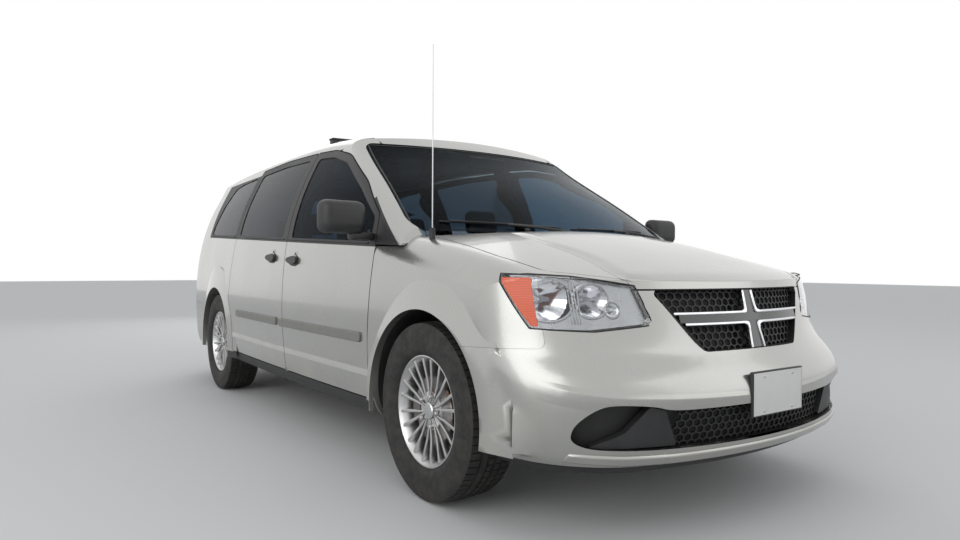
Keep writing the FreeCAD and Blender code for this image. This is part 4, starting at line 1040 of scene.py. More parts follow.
class MINIVAN_OT_front(bpy.types.Operator):
    """Fit the grille, lower opening, raised hood, blank plate, washer jets, wipers and windscreen edge"""
    bl_idname = "minivan.front"
    bl_label = "Front details"

    # Half of the lower opening, from its tip inwards: across, height
    opening_top = ((0.801, 0.394), (0.790, 0.440), (0.743, 0.487), (0.692, 0.500), (0.557, 0.489),
                   (0.502, 0.472), (0.364, 0.469))
    opening_foot = ((0.790, 0.368), (0.753, 0.351), (0.694, 0.346), (0.453, 0.336))
    ramp = ((0.745, 0.353), (0.640, 0.400), (0.560, 0.484), (0.500, 0.468), (0.445, 0.345), (0.694, 0.348))
    # Shoulders of the hood: x, half width at their top, half width at their foot
    shoulders = ((1.470, 0.415, 0.440), (1.626, 0.428, 0.453), (1.884, 0.443, 0.485), (2.061, 0.430, 0.493),
                 (2.199, 0.440, 0.508), (2.310, 0.471, 0.535), (2.440, 0.495, 0.550))
    hood_rise = 0.009

    def execute(self, context):
        black = moulded_plastic("front_black", (0.016, 0.016, 0.017), 0.45)
        steel = bare_metal("screw_steel", (0.6, 0.6, 0.6), 0.3)
        plate_white = glossy_paint("blank_plate_white", (0.66, 0.66, 0.64), 0.35)
        paint = bpy.data.materials["silver_paint"]
        dark = moulded_plastic("grille_black", (0.008, 0.008, 0.008), 0.5, grain=0.05)
        self.fill_grille(dark)
        self.open_bumper(dark, black, paint)
        self.fair_corners(paint)
        self.raise_hood(paint)
        number_plate("front", (FRONT_PLATE_X, 0.015, 0.496), 1, plate_white, black, steel)
        hood = Skin("hood")
        for side_name, side in SIDES:
            foot = hood.point("top", 1.535, side * 0.33, self.hood_rise)
            low = foot - Vector((0.012, 0.011, 0.002))
            high = foot + Vector((0.012, 0.011, 0.009))
            block("washer_jet_" + side_name, low, high, black, body="hood", round_off=0.004, taper=0.7)
        self.fit_wipers(black)
        self.edge_windscreen(black)
        return {"FINISHED"}

    def fill_grille(self, dark):
        """A honeycomb behind a cross whose bars have bright edges and a dark middle."""
        chrome = bare_metal("cross_chrome", (0.74, 0.75, 0.77), 0.09, scale=12.0, bump=0.0, dull=0.94)
        gloss = glossy_paint("cross_dark", (0.012, 0.013, 0.014), 0.2, coat=0.6)
        span = SpanFace(Skin("front_bumper", "hood"), 0.644, 0.877)
        outline = [(-0.276, 0.651), (-0.461, 0.868), (0.461, 0.868), (0.276, 0.651)]
        tub = recess("grille_tub", span, outline, dark, 0.060, corner=0.012)
        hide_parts("grille")
        honeycomb("grille_honeycomb", span, outline, dark, 0.034, 0.006, 0.026, 0.008)
        low, high = 0.653, 0.866
        in_bar, out_bar = 0.0140, CROSS_HALF
        # How far the bright strips over and under the bar reach to each side
        reach = {1: 0.385, -1: 0.345}
        for side_name, side in SIDES:
            for level_name, up in (("top", 1), ("foot", -1)):
                end = high if up > 0 else low
                far = 0.031 if up > 0 else 0.043
                near = far - 0.0095
                inner = ((reach[up], in_bar), (0.040, in_bar), (0.0285, in_bar + 0.003),
                         (0.0250, in_bar + 0.014))
                outer = ((0.0345, out_bar + 0.022), (0.040, out_bar + 0.006), (0.056, out_bar),
                         (reach[up], out_bar))
                strip = [(side * y, CROSS_Z + up * off) for y, off in inner]
                strip += [(side * near, end), (side * far, end)]
                strip += [(side * y, CROSS_Z + up * off) for y, off in outer]
                draped("cross_strip_%s_%s" % (level_name, side_name), span, "front", strip, chrome,
                       proud=0.004, depth=0.016, cell=0.05, edge=0.0028)
        bar = rectangle(-0.362, 0.362, CROSS_Z - 0.0155, CROSS_Z + 0.0155)
        post = ((-0.0345, low), (-0.0225, high), (0.0225, high), (0.0345, low))
        draped("cross_bar", span, "front", bar, gloss, proud=-0.002, depth=0.014, cell=0.05)
        draped("cross_post", span, "front", post, gloss, proud=-0.0025, depth=0.014, cell=0.05)

    def open_bumper(self, dark, black, paint):
        """Cut the wide lower opening through the bumper and fit its tub, mesh, ramps and lip."""
        skin = Skin("front_bumper")
        right = [(-y, z) for y, z in self.opening_top]
        left = [(y, z) for y, z in reversed(self.opening_top)]
        foot_left = list(self.opening_foot)
        foot_right = [(-y, z) for y, z in reversed(self.opening_foot)]
        outline = rounded(right + left + foot_left + foot_right)
        cutter = flat_outline(outline)
        for vert in cutter.verts:
            vert.co = Vector((2.20, vert.co.x, vert.co.y))
        made = bmesh.ops.extrude_face_region(cutter, geom=cutter.faces[:])
        bmesh.ops.translate(cutter, verts=new_verts(made), vec=(0.6, 0, 0))
        bmesh.ops.recalc_face_normals(cutter, faces=cutter.faces)
        cover = cut_copy("bumper_cover", "front_bumper", cutter)
        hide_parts("front_bumper")
        span = SpanFace(skin, 0.333, 0.503)
        tub = recess("intake_tub", span, outline, dark, 0.060)
        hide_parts("lower_intake")
        mesh_outline = [(-0.470, 0.340), (-0.430, 0.467), (0.430, 0.467), (0.470, 0.340)]
        honeycomb("intake_honeycomb", span, mesh_outline, dark, 0.034, 0.006, 0.034, 0.008)
        for side_name, side in SIDES:
            ramp = [(side * y, z) for y, z in self.ramp]
            draped("intake_ramp_" + side_name, span, "front", ramp, black, corner=0.012, proud=-0.018,
                   depth=0.030, cell=0.04, edge=0.008)
        lip = ((-0.805, 0.297), (-0.66, 0.288), (-0.48, 0.282), (0.48, 0.282), (0.66, 0.288), (0.805, 0.297),
               (0.800, 0.330), (0.66, 0.323), (0.48, 0.317), (-0.48, 0.317), (-0.66, 0.323), (-0.800, 0.330))
        draped("bumper_lip", skin, "front", lip, paint, proud=0.014, depth=0.017,
               cell=0.06, edge=0.008)

    def fair_corners(self, paint):
        """Smooth the step between the arch's flare and the side of the bumper."""
        skin = Skin("front_bumper")
        rear, front, low, high = 2.169, 2.262, 0.300, 0.500
        for side_name, side in SIDES:
            shape = bmesh.new()
            bmesh.ops.create_grid(shape, x_segments=12, y_segments=14, size=0.5)
            for vert in shape.verts:
                share = vert.co.x + 0.5
                foot = vert.co.y < -0.499
                height = low + (high - low) * (vert.co.y + 0.5)
                flare = abs(skin.point(side_name, rear - 0.005, height).y)
                end = abs(skin.point(side_name, front, height).y)
                place = skin.point(side_name, rear + (front - rear) * share, height)
                chord = 0.0 if foot else flare + (end - flare) * share
                place.y = side * (max(abs(place.y), chord) + 0.0004)
                vert.co = place
            face_outwards(shape, 1, side)
            thicken(finish_piece("bumper_fairing_" + side_name, shape, paint), 0.002)

    def raise_hood(self, paint):
        """The raised middle of the hood, whose shoulders run from the cowl to the grille."""
        skin = Skin("hood")
        shape = bmesh.new()
        bmesh.ops.create_grid(shape, x_segments=30, y_segments=90, size=0.5)
        rear, front = 1.510, 2.438
        for vert in shape.verts:
            share = vert.co.x + 0.5
            x = rear + (front - rear) * share
            top, foot = self.shoulder(x)
            y = 2 * vert.co.y * foot
            x = rear + (2.436 - 0.33 * y * y - rear) * share
            ramp = smooth_step((foot - abs(y)) / (foot - top))
            fade = smooth_step(share / 0.16) * smooth_step((1 - share) / 0.05)
            vert.co = skin.point("top", x, y, 0.0006 + self.hood_rise * ramp * fade)
        face_outwards(shape, 2, 1)
        thicken(finish_piece("hood_middle", shape, paint, "hood"), 0.002)

    def shoulder(self, x):
        """Half widths of the hood's raised middle at its top and at its foot."""
        for (low, low_top, low_foot), (high, high_top, high_foot) in zip(self.shoulders, self.shoulders[1:]):
            if x <= high:
                break
        share = (x - low) / (high - low)
        return low_top + (high_top - low_top) * share, low_foot + (high_foot - low_foot) * share

    def fit_wipers(self, black):
        """Two arms parked low on the glass, both pointing to the right side."""
        glass = Skin("windscreen", "cowl")
        rubber = moulded_plastic("wiper_rubber", (0.010, 0.010, 0.010), 0.7)
        # Wiper: blade tip (y, z), blade heel (y, z), pivot (y, z)
        for name, tip, heel, pivot in (("right", (-0.690, 1.152), (-0.100, 1.132), (0.010, 1.088)),
                                       ("left", (-0.040, 1.130), (0.560, 1.136), (0.655, 1.086))):
            blade = along_run(glass, "front", (tip, heel), 0.008, 0.04)
            tube("wiper_blade_" + name, blade, 0.0045, rubber)
            frame_line = [place + Vector((0.010, 0, 0.004)) for place in blade[1:-1]]
            tube("wiper_frame_" + name, frame_line, 0.0035, black)
            middle = ((tip[0] + heel[0]) / 2, (tip[1] + heel[1]) / 2)
            start = glass.point("front", *pivot, 0.012)
            end = glass.point("front", *middle, 0.024)
            lift = Vector((0.010, 0, 0.010))
            arm = [start, start.lerp(end, 0.18) + lift, start.lerp(end, 0.6) + lift, end]
            tube("wiper_arm_" + name, arm, 0.0065, black)
            lathe("wiper_nut_" + name, ((-0.012, 0.015), (0.006, 0.014), (0.010, 0.009), (0.011, 0.0)), start,
                  (0.5, 0, 0.86), black, steps=20)

    def edge_windscreen(self, black):
        """Printed border, outer seal and the inner mirror."""
        glass = Skin("windscreen")
        print_black = moulded_plastic("glass_border", (0.006, 0.006, 0.006), 0.3, grain=0.05)
        outline = ((-0.820, 1.113), (-0.672, 1.602), (0.672, 1.602), (0.820, 1.113), (0.480, 1.114),
                   (-0.480, 1.114))
        draped("windscreen_border", glass, "front", outline, print_black, ring=0.026, proud=0.0006,
               depth=0.0010, cell=0.07, edge=0.0002)
        run = ((-0.822, 1.112), (-0.676, 1.603), (0.0, 1.606), (0.676, 1.603), (0.822, 1.112))
        tube("windscreen_seal", along_run(glass, "front", run, -0.001, 0.05), 0.0045, black)
        mount = glass.point("front", 0.0, 1.545, -0.030)
        low = mount - Vector((0.030, 0.125, 0.040))
        high = mount + Vector((-0.008, 0.125, 0.030))
        block("inner_mirror", low, high, black, round_off=0.009)
        stem = [glass.point("front", 0.0, 1.575, -0.004), mount + Vector((-0.012, 0, 0.012))]
        tube("inner_mirror_stem", stem, 0.007, black)


def number_plate(name, centre, sign, white, black, steel):
    """A blank plate with a rolled edge on a black holder, held by four screws."""
    x, y, z = centre
    body = PLATE_BODY[name]
    rear, front = sorted((x - sign * 0.012, x + sign * 0.0005))
    block("plate_holder_" + name, (rear, y - 0.160, z - 0.0815), (front, y + 0.160, z + 0.0815), black,
          body=body, round_off=0.004)
    rear, front = sorted((x + sign * 0.0012, x + sign * 0.0026))
    block("plate_" + name, (rear, y - 0.1525, z - 0.076), (front, y + 0.1525, z + 0.076), white,
          body=body, round_off=0.0006)
    rim = ((-0.149, -0.068), (-0.149, 0.068), (-0.145, 0.0725), (0.145, 0.0725), (0.149, 0.068),
           (0.149, -0.068), (0.145, -0.0725), (-0.145, -0.0725))
    ring = [(x + sign * 0.0028, y + across, z + up) for across, up in rim]
    tube("plate_edge_" + name, ring, 0.0012, white, body=body, cyclic=True)
    # Screw: distance outwards, radius
    screw = ((-0.004, 0.0065), (0.0, 0.0065), (0.0022, 0.0045), (0.0026, 0.0018), (0.0014, 0.0010),
             (0.0014, 0.0))
    corners = ((-0.089, 0.062), (0.089, 0.062), (-0.089, -0.062), (0.089, -0.062))
    for number, (across, up) in enumerate(corners):
        spot = (x + sign * 0.0026, y + across, z + up)
        lathe("plate_screw_%s_%d" % (name, number), screw, spot, (sign, 0, 0), steel, body=body,
              steps=16)


class MINIVAN_OT_sides(bpy.types.Operator):
    """Fit door handles, rub strips, window mouldings and mirror glass on both sides"""
    bl_idname = "minivan.sides"
    bl_label = "Side details"

    def execute(self, context):
        black = moulded_plastic("handle_black", (0.020, 0.020, 0.021), 0.42)
        bright = glossy_paint("bezel_silver", (0.52, 0.52, 0.50), 0.25, metallic=0.7)
        strip = glossy_paint("strip_silver", (0.20, 0.195, 0.18), 0.50, metallic=0.2, coat=0.1)
        seal = moulded_plastic("window_seal", (0.012, 0.012, 0.012), 0.5)
        silvering = mirror_silver("mirror_silver")
        for side_name, side in SIDES:
            front = Skin("front_door_" + side_name, "front_door_glass_" + side_name)
            rear = Skin("sliding_door_" + side_name, "body_side_" + side_name, "side_glass")
            door_body = "door_" + side_name
            # Handle: door, skin, body, x and z of its middle
            handles = (("front", front, door_body, 0.186, 0.975), ("rear", rear, "root", -0.188, 0.992))
            for door, skin, body, x, z in handles:
                self.fit_handle(door + "_" + side_name, skin, side_name, x, z, body, black, bright)
            # Strip: door, skin, body, its two ends
            strips = (("front", front, door_body, 0.046, 1.095), ("rear", rear, "root", -0.850, -0.012))
            for door, skin, body, start, end in strips:
                tag = door + "_" + side_name
                draped("rub_strip_" + tag, skin, side_name, rectangle(start, end, 0.595, 0.640), strip, body,
                       corner=0.012, proud=0.011, depth=0.013, cell=0.08, edge=0.004)
                run = ((start, belt(start) + 0.006), (end, belt(end) + 0.006))
                tube("belt_seal_" + tag, along_run(skin, side_name, run, 0.0005, 0.06), 0.0045, seal, body)
            quarter = ((-1.120, belt(-1.120) + 0.006), (-1.880, belt(-1.880) + 0.006))
            seal_line = along_run(rear, side_name, quarter, 0.0005, 0.06)
            tube("belt_seal_quarter_" + side_name, seal_line, 0.0045, seal)
            self.fit_mirror(side_name, side, black, silvering, door_body)
        self.fuel_door()
        return {"FINISHED"}

    def fit_mirror(self, side_name, side, black, silvering, body):
        """A rounded mirror shell, smaller towards its front, on a foot from the door."""
        shape = bmesh.new()
        bmesh.ops.create_cube(shape, size=1.0)
        for vert in shape.verts:
            narrow = 0.84 if vert.co.x > 0 else 1.0
            vert.co = Vector((0.096 * vert.co.x, 0.234 * vert.co.y * narrow, 0.160 * vert.co.z * narrow))
        bevel_edges(shape, 0.038, 5)
        y, z = side * 1.0665, 1.167
        bmesh.ops.translate(shape, verts=shape.verts, vec=(1.132, y, z))
        shell = finish_piece("mirror_shell_" + side_name, shape, black, body)
        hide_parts("mirror_" + side_name)
        near, far = sorted((side * 0.912, side * 1.030))
        block("mirror_foot_" + side_name, (1.094, near, 1.066), (1.146, far, 1.100), black, body,
              round_off=0.011)
        glass = rectangle(y - side * 0.094, y + side * 0.094, z - 0.056, z + 0.056)
        draped("mirror_glass_" + side_name, Skin("mirror_" + side_name), "rear", glass, silvering, body,
               corner=0.022, proud=0.0025, depth=0.003, cell=0.2, edge=0.0008)

    def fit_handle(self, tag, skin, view, x, z, body, black, bright):
        """A pull handle over a shallow cup, with the lock above it."""
        paddle = ((-0.086, 0.004), (-0.066, 0.021), (0.010, 0.025), (0.062, 0.024), (0.084, 0.014),
                  (0.086, -0.016), (0.050, -0.028), (-0.010, -0.026), (-0.062, -0.012))
        rim = [(x + along * 1.07, z + up * 1.14 - 0.0005) for along, up in paddle]
        draped("handle_cup_" + tag, skin, view, rim, black, body, corner=0.014, proud=0.0025, depth=0.006,
               cell=0.04)
        grip = [(x + along * 0.93, z + up * 0.78 + 0.002) for along, up in paddle]
        draped("handle_" + tag, skin, view, grip, black, body, corner=0.010, proud=0.018, depth=0.015,
               cell=0.03, edge=0.005)
        bezel = oval(x + 0.034, z + 0.037, 0.016, 0.015, 20)
        draped("handle_bezel_" + tag, skin, view, bezel, bright, body, proud=0.0035,
               depth=0.005, cell=0.05)
        lock = oval(x + 0.034, z + 0.037, 0.0085, 0.0085, 16)
        draped("handle_lock_" + tag, skin, view, lock, black, body, proud=0.0055, depth=0.005, cell=0.05)

    def fuel_door(self):
        """Gap round the filler flap, high on the left rear quarter."""
        x, z, half = -1.985, 0.945, 0.080
        gap = moulded_plastic("flap_gap", (0.006, 0.006, 0.006), 0.8)
        outline = rectangle(x - half, x + half, z - half, z + half)
        draped("fuel_flap_gap", Skin("body_side_left"), "left", outline, gap, corner=0.022, ring=0.003,
               proud=0.0006, depth=0.001, cell=0.05, edge=0.0001)


class MINIVAN_OT_tail(bpy.types.Operator):
    """Fit the plate, handle, wiper, stop lamp, reflectors and step ribs at the back"""
    bl_idname = "minivan.tail"
    bl_label = "Rear details"

    def execute(self, context):
        black = moulded_plastic("rear_black", (0.018, 0.018, 0.018), 0.5)
        steel = bare_metal("rear_steel", (0.6, 0.6, 0.6), 0.3)
        white = glossy_paint("rear_plate_white", (0.66, 0.66, 0.64), 0.35)
        red = lamp_plastic("stop_lamp_red", (0.40, 0.010, 0.010))
        silver = glossy_paint("gate_trim_silver", (0.36, 0.36, 0.34), 0.35, metallic=0.6)
        gate = Skin("liftgate", "liftgate_glass")
        bumper = Skin("rear_bumper")
        plate_x = min(gate.point("rear", y, z).x for y in (-0.15, 0.0, 0.15) for z in (0.735, 0.885)) - 0.001
        number_plate("rear", (plate_x, 0.0, 0.810), -1, white, black, steel)
        bar = ((-0.300, 0.925), (-0.290, 0.975), (0.290, 0.975), (0.300, 0.925))
        draped("gate_trim", gate, "rear", bar, silver, "liftgate", corner=0.012, proud=0.020,
               depth=0.018, cell=0.05, edge=0.005)
        pull = rectangle(-0.100, 0.100, 0.912, 0.926)
        draped("gate_pull", gate, "rear", pull, black, "liftgate", corner=0.004, proud=0.006, depth=0.008,
               cell=0.05)
        stop = ((-0.210, 1.598), (-0.205, 1.622), (0.205, 1.622), (0.210, 1.598))
        draped("stop_lamp", gate, "rear", stop, red, "liftgate", corner=0.008, proud=0.006,
               depth=0.010, cell=0.05, edge=0.003)
        self.fit_wiper(gate, black)
        for side_name, side in SIDES:
            mark = rectangle(side * 0.560, side * 0.700, 0.430, 0.470)
            draped("reflector_rear_" + side_name, bumper, "rear", mark, red, corner=0.008,
                   proud=0.002, depth=0.008, cell=0.04)
        for number in range(7):
            x = -2.455 - 0.012 * number
            half = 0.50 - 0.006 * number
            rib = rectangle(x - 0.0035, x + 0.0035, -half, half)
            draped("step_rib_%d" % number, bumper, "top", rib, black, corner=0.003, proud=0.0025, depth=0.004,
                   cell=0.10)
        return {"FINISHED"}

    def fit_wiper(self, gate, black):
        """One arm and blade at the foot of the rear window."""
        rubber = moulded_plastic("rear_wiper_rubber", (0.010, 0.010, 0.010), 0.7)
        blade = along_run(gate, "rear", ((-0.02, 1.205), (0.36, 1.205)), 0.010, 0.04)
        tube("rear_wiper_blade", blade, 0.0045, rubber, "liftgate")
        pivot = gate.point("rear", 0.0, 1.118, 0.006)
        arm = [pivot, gate.point("rear", 0.04, 1.150, 0.022), gate.point("rear", 0.17, 1.205, 0.022)]
        tube("rear_wiper_arm", arm, 0.0065, black, "liftgate")
        cap = ((-0.010, 0.020), (0.010, 0.018), (0.016, 0.010), (0.017, 0.0))
        lathe("rear_wiper_cap", cap, pivot, (-1, 0, 0), black, "liftgate", steps=24)


class MINIVAN_OT_roof_trim(bpy.types.Operator):
    """Lay the roof mouldings over the seams and fit the crossbar"""
    bl_idname = "minivan.roof_trim"
    bl_label = "Roof mouldings"

    def execute(self, context):
        black = moulded_plastic("roof_moulding", (0.020, 0.020, 0.021), 0.5)
        skin = Skin("roof", "body_side_left", "body_side_right")
        for side_name, side in SIDES:
            points = [skin.point("top", 0.60 - 0.09 * number, side * 0.603, -0.0008) for number in range(31)]
            tube("roof_moulding_" + side_name, points, 0.0045, black)
        self.fit_bar(skin, black)
        return {"FINISHED"}

    def fit_bar(self, skin, black):
        """One low crossbar, arched like the roof, on two feet; their black is painted shade."""
        half, top, tall, sag = 0.612, 1.753, 0.012, 0.006
        shape = flat_outline(rectangle(-0.110, -0.050, -half, half))
        cut_grid(shape, 0.1)
        for vert in shape.verts:
            vert.co.z = top - sag * (vert.co.y / half) ** 2
        face_outwards(shape, 2, 1)
        # Painted shade: the bar and its feet are black for the shade on them.
        bar = finish_piece("roof_bar", shape, black)
        thicken(bar, tall)
        soften(bar, 0.004)
        for side_name, side in SIDES:
            foot = skin.point("top", -0.080, side * 0.585)
            low = foot + Vector((-0.026, -0.022, -0.003))
            high = Vector((foot.x + 0.026, foot.y + 0.022, top - tall - sag + 0.002))
            block("roof_bar_foot_" + side_name, low, high, black, round_off=0.004)


class MINIVAN_OT_tyres(bpy.types.Operator):
    """Model the four tyres with their tread, and their rims"""
    bl_idname = "minivan.tyres"
    bl_label = "Tyres and rims"

    def execute(self, context):
        rubber = tyre_rubber("tyre_rubber")
        alloy = bare_metal("wheel_alloy", (0.60, 0.60, 0.60), 0.30, scale=18.0, bump=0.0, dull=0.90)
        for place, axle_x in (("front", FRONT_AXLE_X), ("rear", REAR_AXLE_X)):
            for side_name, side in SIDES:
                tag = "%s_%s" % (place, side_name)
                wheel = "wheel_" + tag
                shape = tyre_mesh(context.scene.minivan_tyre, (axle_x, side * WHEEL_Y, AXLE_Z), side)
                tyre = finish_piece("tread_" + tag, shape, rubber, wheel)
                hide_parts("tyre_" + tag)
                self.fit_rim(tag, axle_x, side, wheel, alloy)
        return {"FINISHED"}

    # Barrel of the rim: distance outwards from the wheel's middle, radius
    barrel = ((-0.093, 0.221), (-0.093, 0.226), (-0.085, 0.225), (-0.078, 0.213), (-0.060, 0.201),
              (0.020, 0.197), (0.060, 0.206), (0.078, 0.213), (0.087, 0.225), (0.093, 0.226),
              (0.0935, 0.221), (0.086, 0.215), (0.076, 0.206), (0.058, 0.199), (0.018, 0.190),
              (-0.060, 0.194), (-0.078, 0.206), (-0.086, 0.218), (-0.093, 0.221))
    hub = ((0.030, 0.0), (0.030, 0.078), (0.058, 0.080), (0.064, 0.077), (0.0645, 0.040), (0.0645, 0.0))
    cap = ((0.060, 0.0), (0.060, 0.034), (0.075, 0.0335), (0.079, 0.029), (0.0805, 0.015), (0.081, 0.0))
    # Stations of one rib of a pair: reach, its edges from the pair's middle line, its back and its face
    rib = ((0.036, 0.0015, 0.008, 0.050, 0.0715), (0.066, 0.0020, 0.010, 0.050, 0.0710),
           (0.120, 0.0100, 0.022, 0.050, 0.0730), (0.211, 0.0240, 0.038, 0.061, 0.0870))
    pairs = 10

    def fit_rim(self, tag, axle_x, side, wheel, alloy):
        """Barrel, hub, cap and ten pairs of ribs."""
        centre = Vector((axle_x, side * WHEEL_Y, AXLE_Z))
        axle = (0, side, 0)
        barrel = lathe("rim_barrel_" + tag, self.barrel, centre, axle, alloy, wheel, steps=72)
        lathe("rim_hub_" + tag, self.hub, centre, axle, alloy, wheel, steps=48)
        lathe("rim_cap_" + tag, self.cap, centre, axle, alloy, wheel, steps=40)
        shape = bmesh.new()
        for turned in (1, -1):
            rings = []
            for reach, inner, outer, back, face in self.rib:
                spots = ((inner, back), (outer, back), (outer, face), (inner, face))
                rings.append([shape.verts.new((turned * across, along, reach)) for across, along in spots])
            loops = [[shape.edges.new(pair) for pair in zip(ring, ring[1:] + ring[:1])] for ring in rings]
            for first, second in zip(loops, loops[1:]):
                bmesh.ops.bridge_loops(shape, edges=first + second)
            shape.faces.new(rings[0])
            shape.faces.new(rings[-1])
        bmesh.ops.recalc_face_normals(shape, faces=shape.faces)
        bevel_edges(shape, 0.0018, 2)
        step = math.tau / self.pairs
        bmesh.ops.spin(shape, geom=all_parts(shape), cent=(0, 0, 0), axis=(0, 1, 0), angle=math.tau - step,
                       steps=self.pairs - 1, use_duplicate=True)
        place = Matrix.Translation(centre) @ Matrix.Scale(side, 4, (0, 1, 0))
        bmesh.ops.transform(shape, matrix=place, verts=shape.verts)
        bmesh.ops.recalc_face_normals(shape, faces=shape.faces)
        ribs = finish_piece("rim_ribs_" + tag, shape, alloy, wheel)
        for piece in (barrel, ribs):
            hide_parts("rim_" + tag)


class MINIVAN_OT_brakes(bpy.types.Operator):
    """Fit brake discs, calipers, wheel bolts and valves"""
    bl_idname = "minivan.brakes"
    bl_label = "Brakes and wheel bolts"

    # Disc, bolt and valve: distance outwards, radius
    disc = ((0.0, 0.050), (0.0, 0.136), (0.003, 0.139), (0.009, 0.139), (0.012, 0.136), (0.012, 0.078),
            (0.022, 0.072), (0.022, 0.050), (0.0, 0.050))
    bolt = ((-0.020, 0.0085), (0.004, 0.0105), (0.006, 0.0102), (0.015, 0.0096), (0.018, 0.0070),
            (0.019, 0.0))
    valve = ((0.0, 0.005), (0.018, 0.004), (0.020, 0.0055), (0.032, 0.005), (0.034, 0.0))
    # The valve's distance from the axle, its distance along the axle and its angle from the top
    valve_reach = 0.178
    valve_y = 0.880
    valve_turn = 0.9

    def execute(self, context):
        chrome = bare_metal("bolt_steel", (0.62, 0.62, 0.61), 0.25, bump=0.05)
        cast = bare_metal("caliper_iron", (0.20, 0.19, 0.18), 0.55, metallic=0.7, bump=0.3)
        black = moulded_plastic("valve_rubber", (0.015, 0.015, 0.015), 0.6)
        for place, axle_x in (("front", FRONT_AXLE_X), ("rear", REAR_AXLE_X)):
            iron = brake_iron("brake_disc_" + place, axle_x)
            for side_name, side in SIDES:
                tag = "%s_%s" % (place, side_name)
                wheel = "wheel_" + tag
                axle = (0, side, 0)
                hub = Vector((axle_x, side * DISC_Y, AXLE_Z))
                lathe("brake_disc_" + tag, self.disc, hub, axle, iron, wheel, steps=64)
                for number in range(5):
                    spot = self.round_axle(axle_x, side * BOLT_Y, BOLT_CIRCLE, math.radians(72 * number + 18))
                    lathe("wheel_bolt_%s_%d" % (tag, number), self.bolt, spot, axle, chrome, wheel,
                          steps=6)
                stem = self.round_axle(axle_x, side * self.valve_y, self.valve_reach, self.valve_turn)
                lathe("valve_" + tag, self.valve, stem, axle, black, wheel, steps=12)
                carrier = "knuckle_" + side_name if place == "front" else "root"
                self.fit_caliper(tag, axle_x, side, carrier, cast)
        return {"FINISHED"}

    def round_axle(self, axle_x, y, reach, turn):
        """A point at a distance from an axle, turned from its top."""
        return Vector((axle_x + reach * math.sin(turn), y, AXLE_Z + reach * math.cos(turn)))

    def fit_caliper(self, tag, axle_x, side, carrier, cast):
        """A bent block over the rear edge of the disc."""
        shape = bmesh.new()
        angles = [math.radians(step - 90) for step in range(-28, 29, 8)]
        low = side * (DISC_Y - 0.010)
        ring = [(math.sin(turn) * reach, math.cos(turn) * reach) for reach, order in ((0.100, 1), (0.152, -1))
                for turn in angles[::order]]
        face = shape.faces.new([shape.verts.new((axle_x + u, low, AXLE_Z + v)) for u, v in ring])
        made = bmesh.ops.extrude_face_region(shape, geom=[face])
        bmesh.ops.translate(shape, verts=new_verts(made), vec=(0, side * 0.030, 0))
        bmesh.ops.recalc_face_normals(shape, faces=shape.faces)
        piece = finish_piece("caliper_" + tag, shape, cast, carrier)
        soften(piece, 0.005, 3)


def puffed(shape, voxel, pressure, cap):
    """Blow a closed shape up like a stuffed pad, each point moving no further than the cap."""
    scene = bpy.context.scene
    start = bpy.data.meshes.new("pad_start")
    shape.to_mesh(start)
    shape.free()
    pad = bpy.data.objects.new("pad", start)
    scene.collection.objects.link(pad)
    remesh = pad.modifiers.new("remesh", "REMESH")
    remesh.mode = "VOXEL"
    remesh.voxel_size = voxel
    even = bpy.data.meshes.new_from_object(pad.evaluated_get(bpy.context.evaluated_depsgraph_get()))
    pad.modifiers.clear()
    pad.data = even
    cloth = pad.modifiers.new("cloth", "CLOTH")
    cloth.settings.use_pressure = True
    cloth.settings.uniform_pressure_force = pressure
    cloth.settings.effector_weights.gravity = 0
    cloth.point_cache.frame_start = 1
    cloth.point_cache.frame_end = 20
    for number in range(1, 21):
        scene.frame_set(number)
    swollen = bpy.data.meshes.new_from_object(pad.evaluated_get(bpy.context.evaluated_depsgraph_get()))
    for vert, moved in zip(even.vertices, swollen.vertices):
        shift = moved.co - vert.co
        if shift.length > cap:
            shift = shift.normalized() * cap
        vert.co = vert.co + shift
    scene.frame_set(1)
    pad.modifiers.clear()
    bpy.data.meshes.remove(swollen)
    bpy.data.objects.remove(pad)
    bpy.data.meshes.remove(start)
    return even


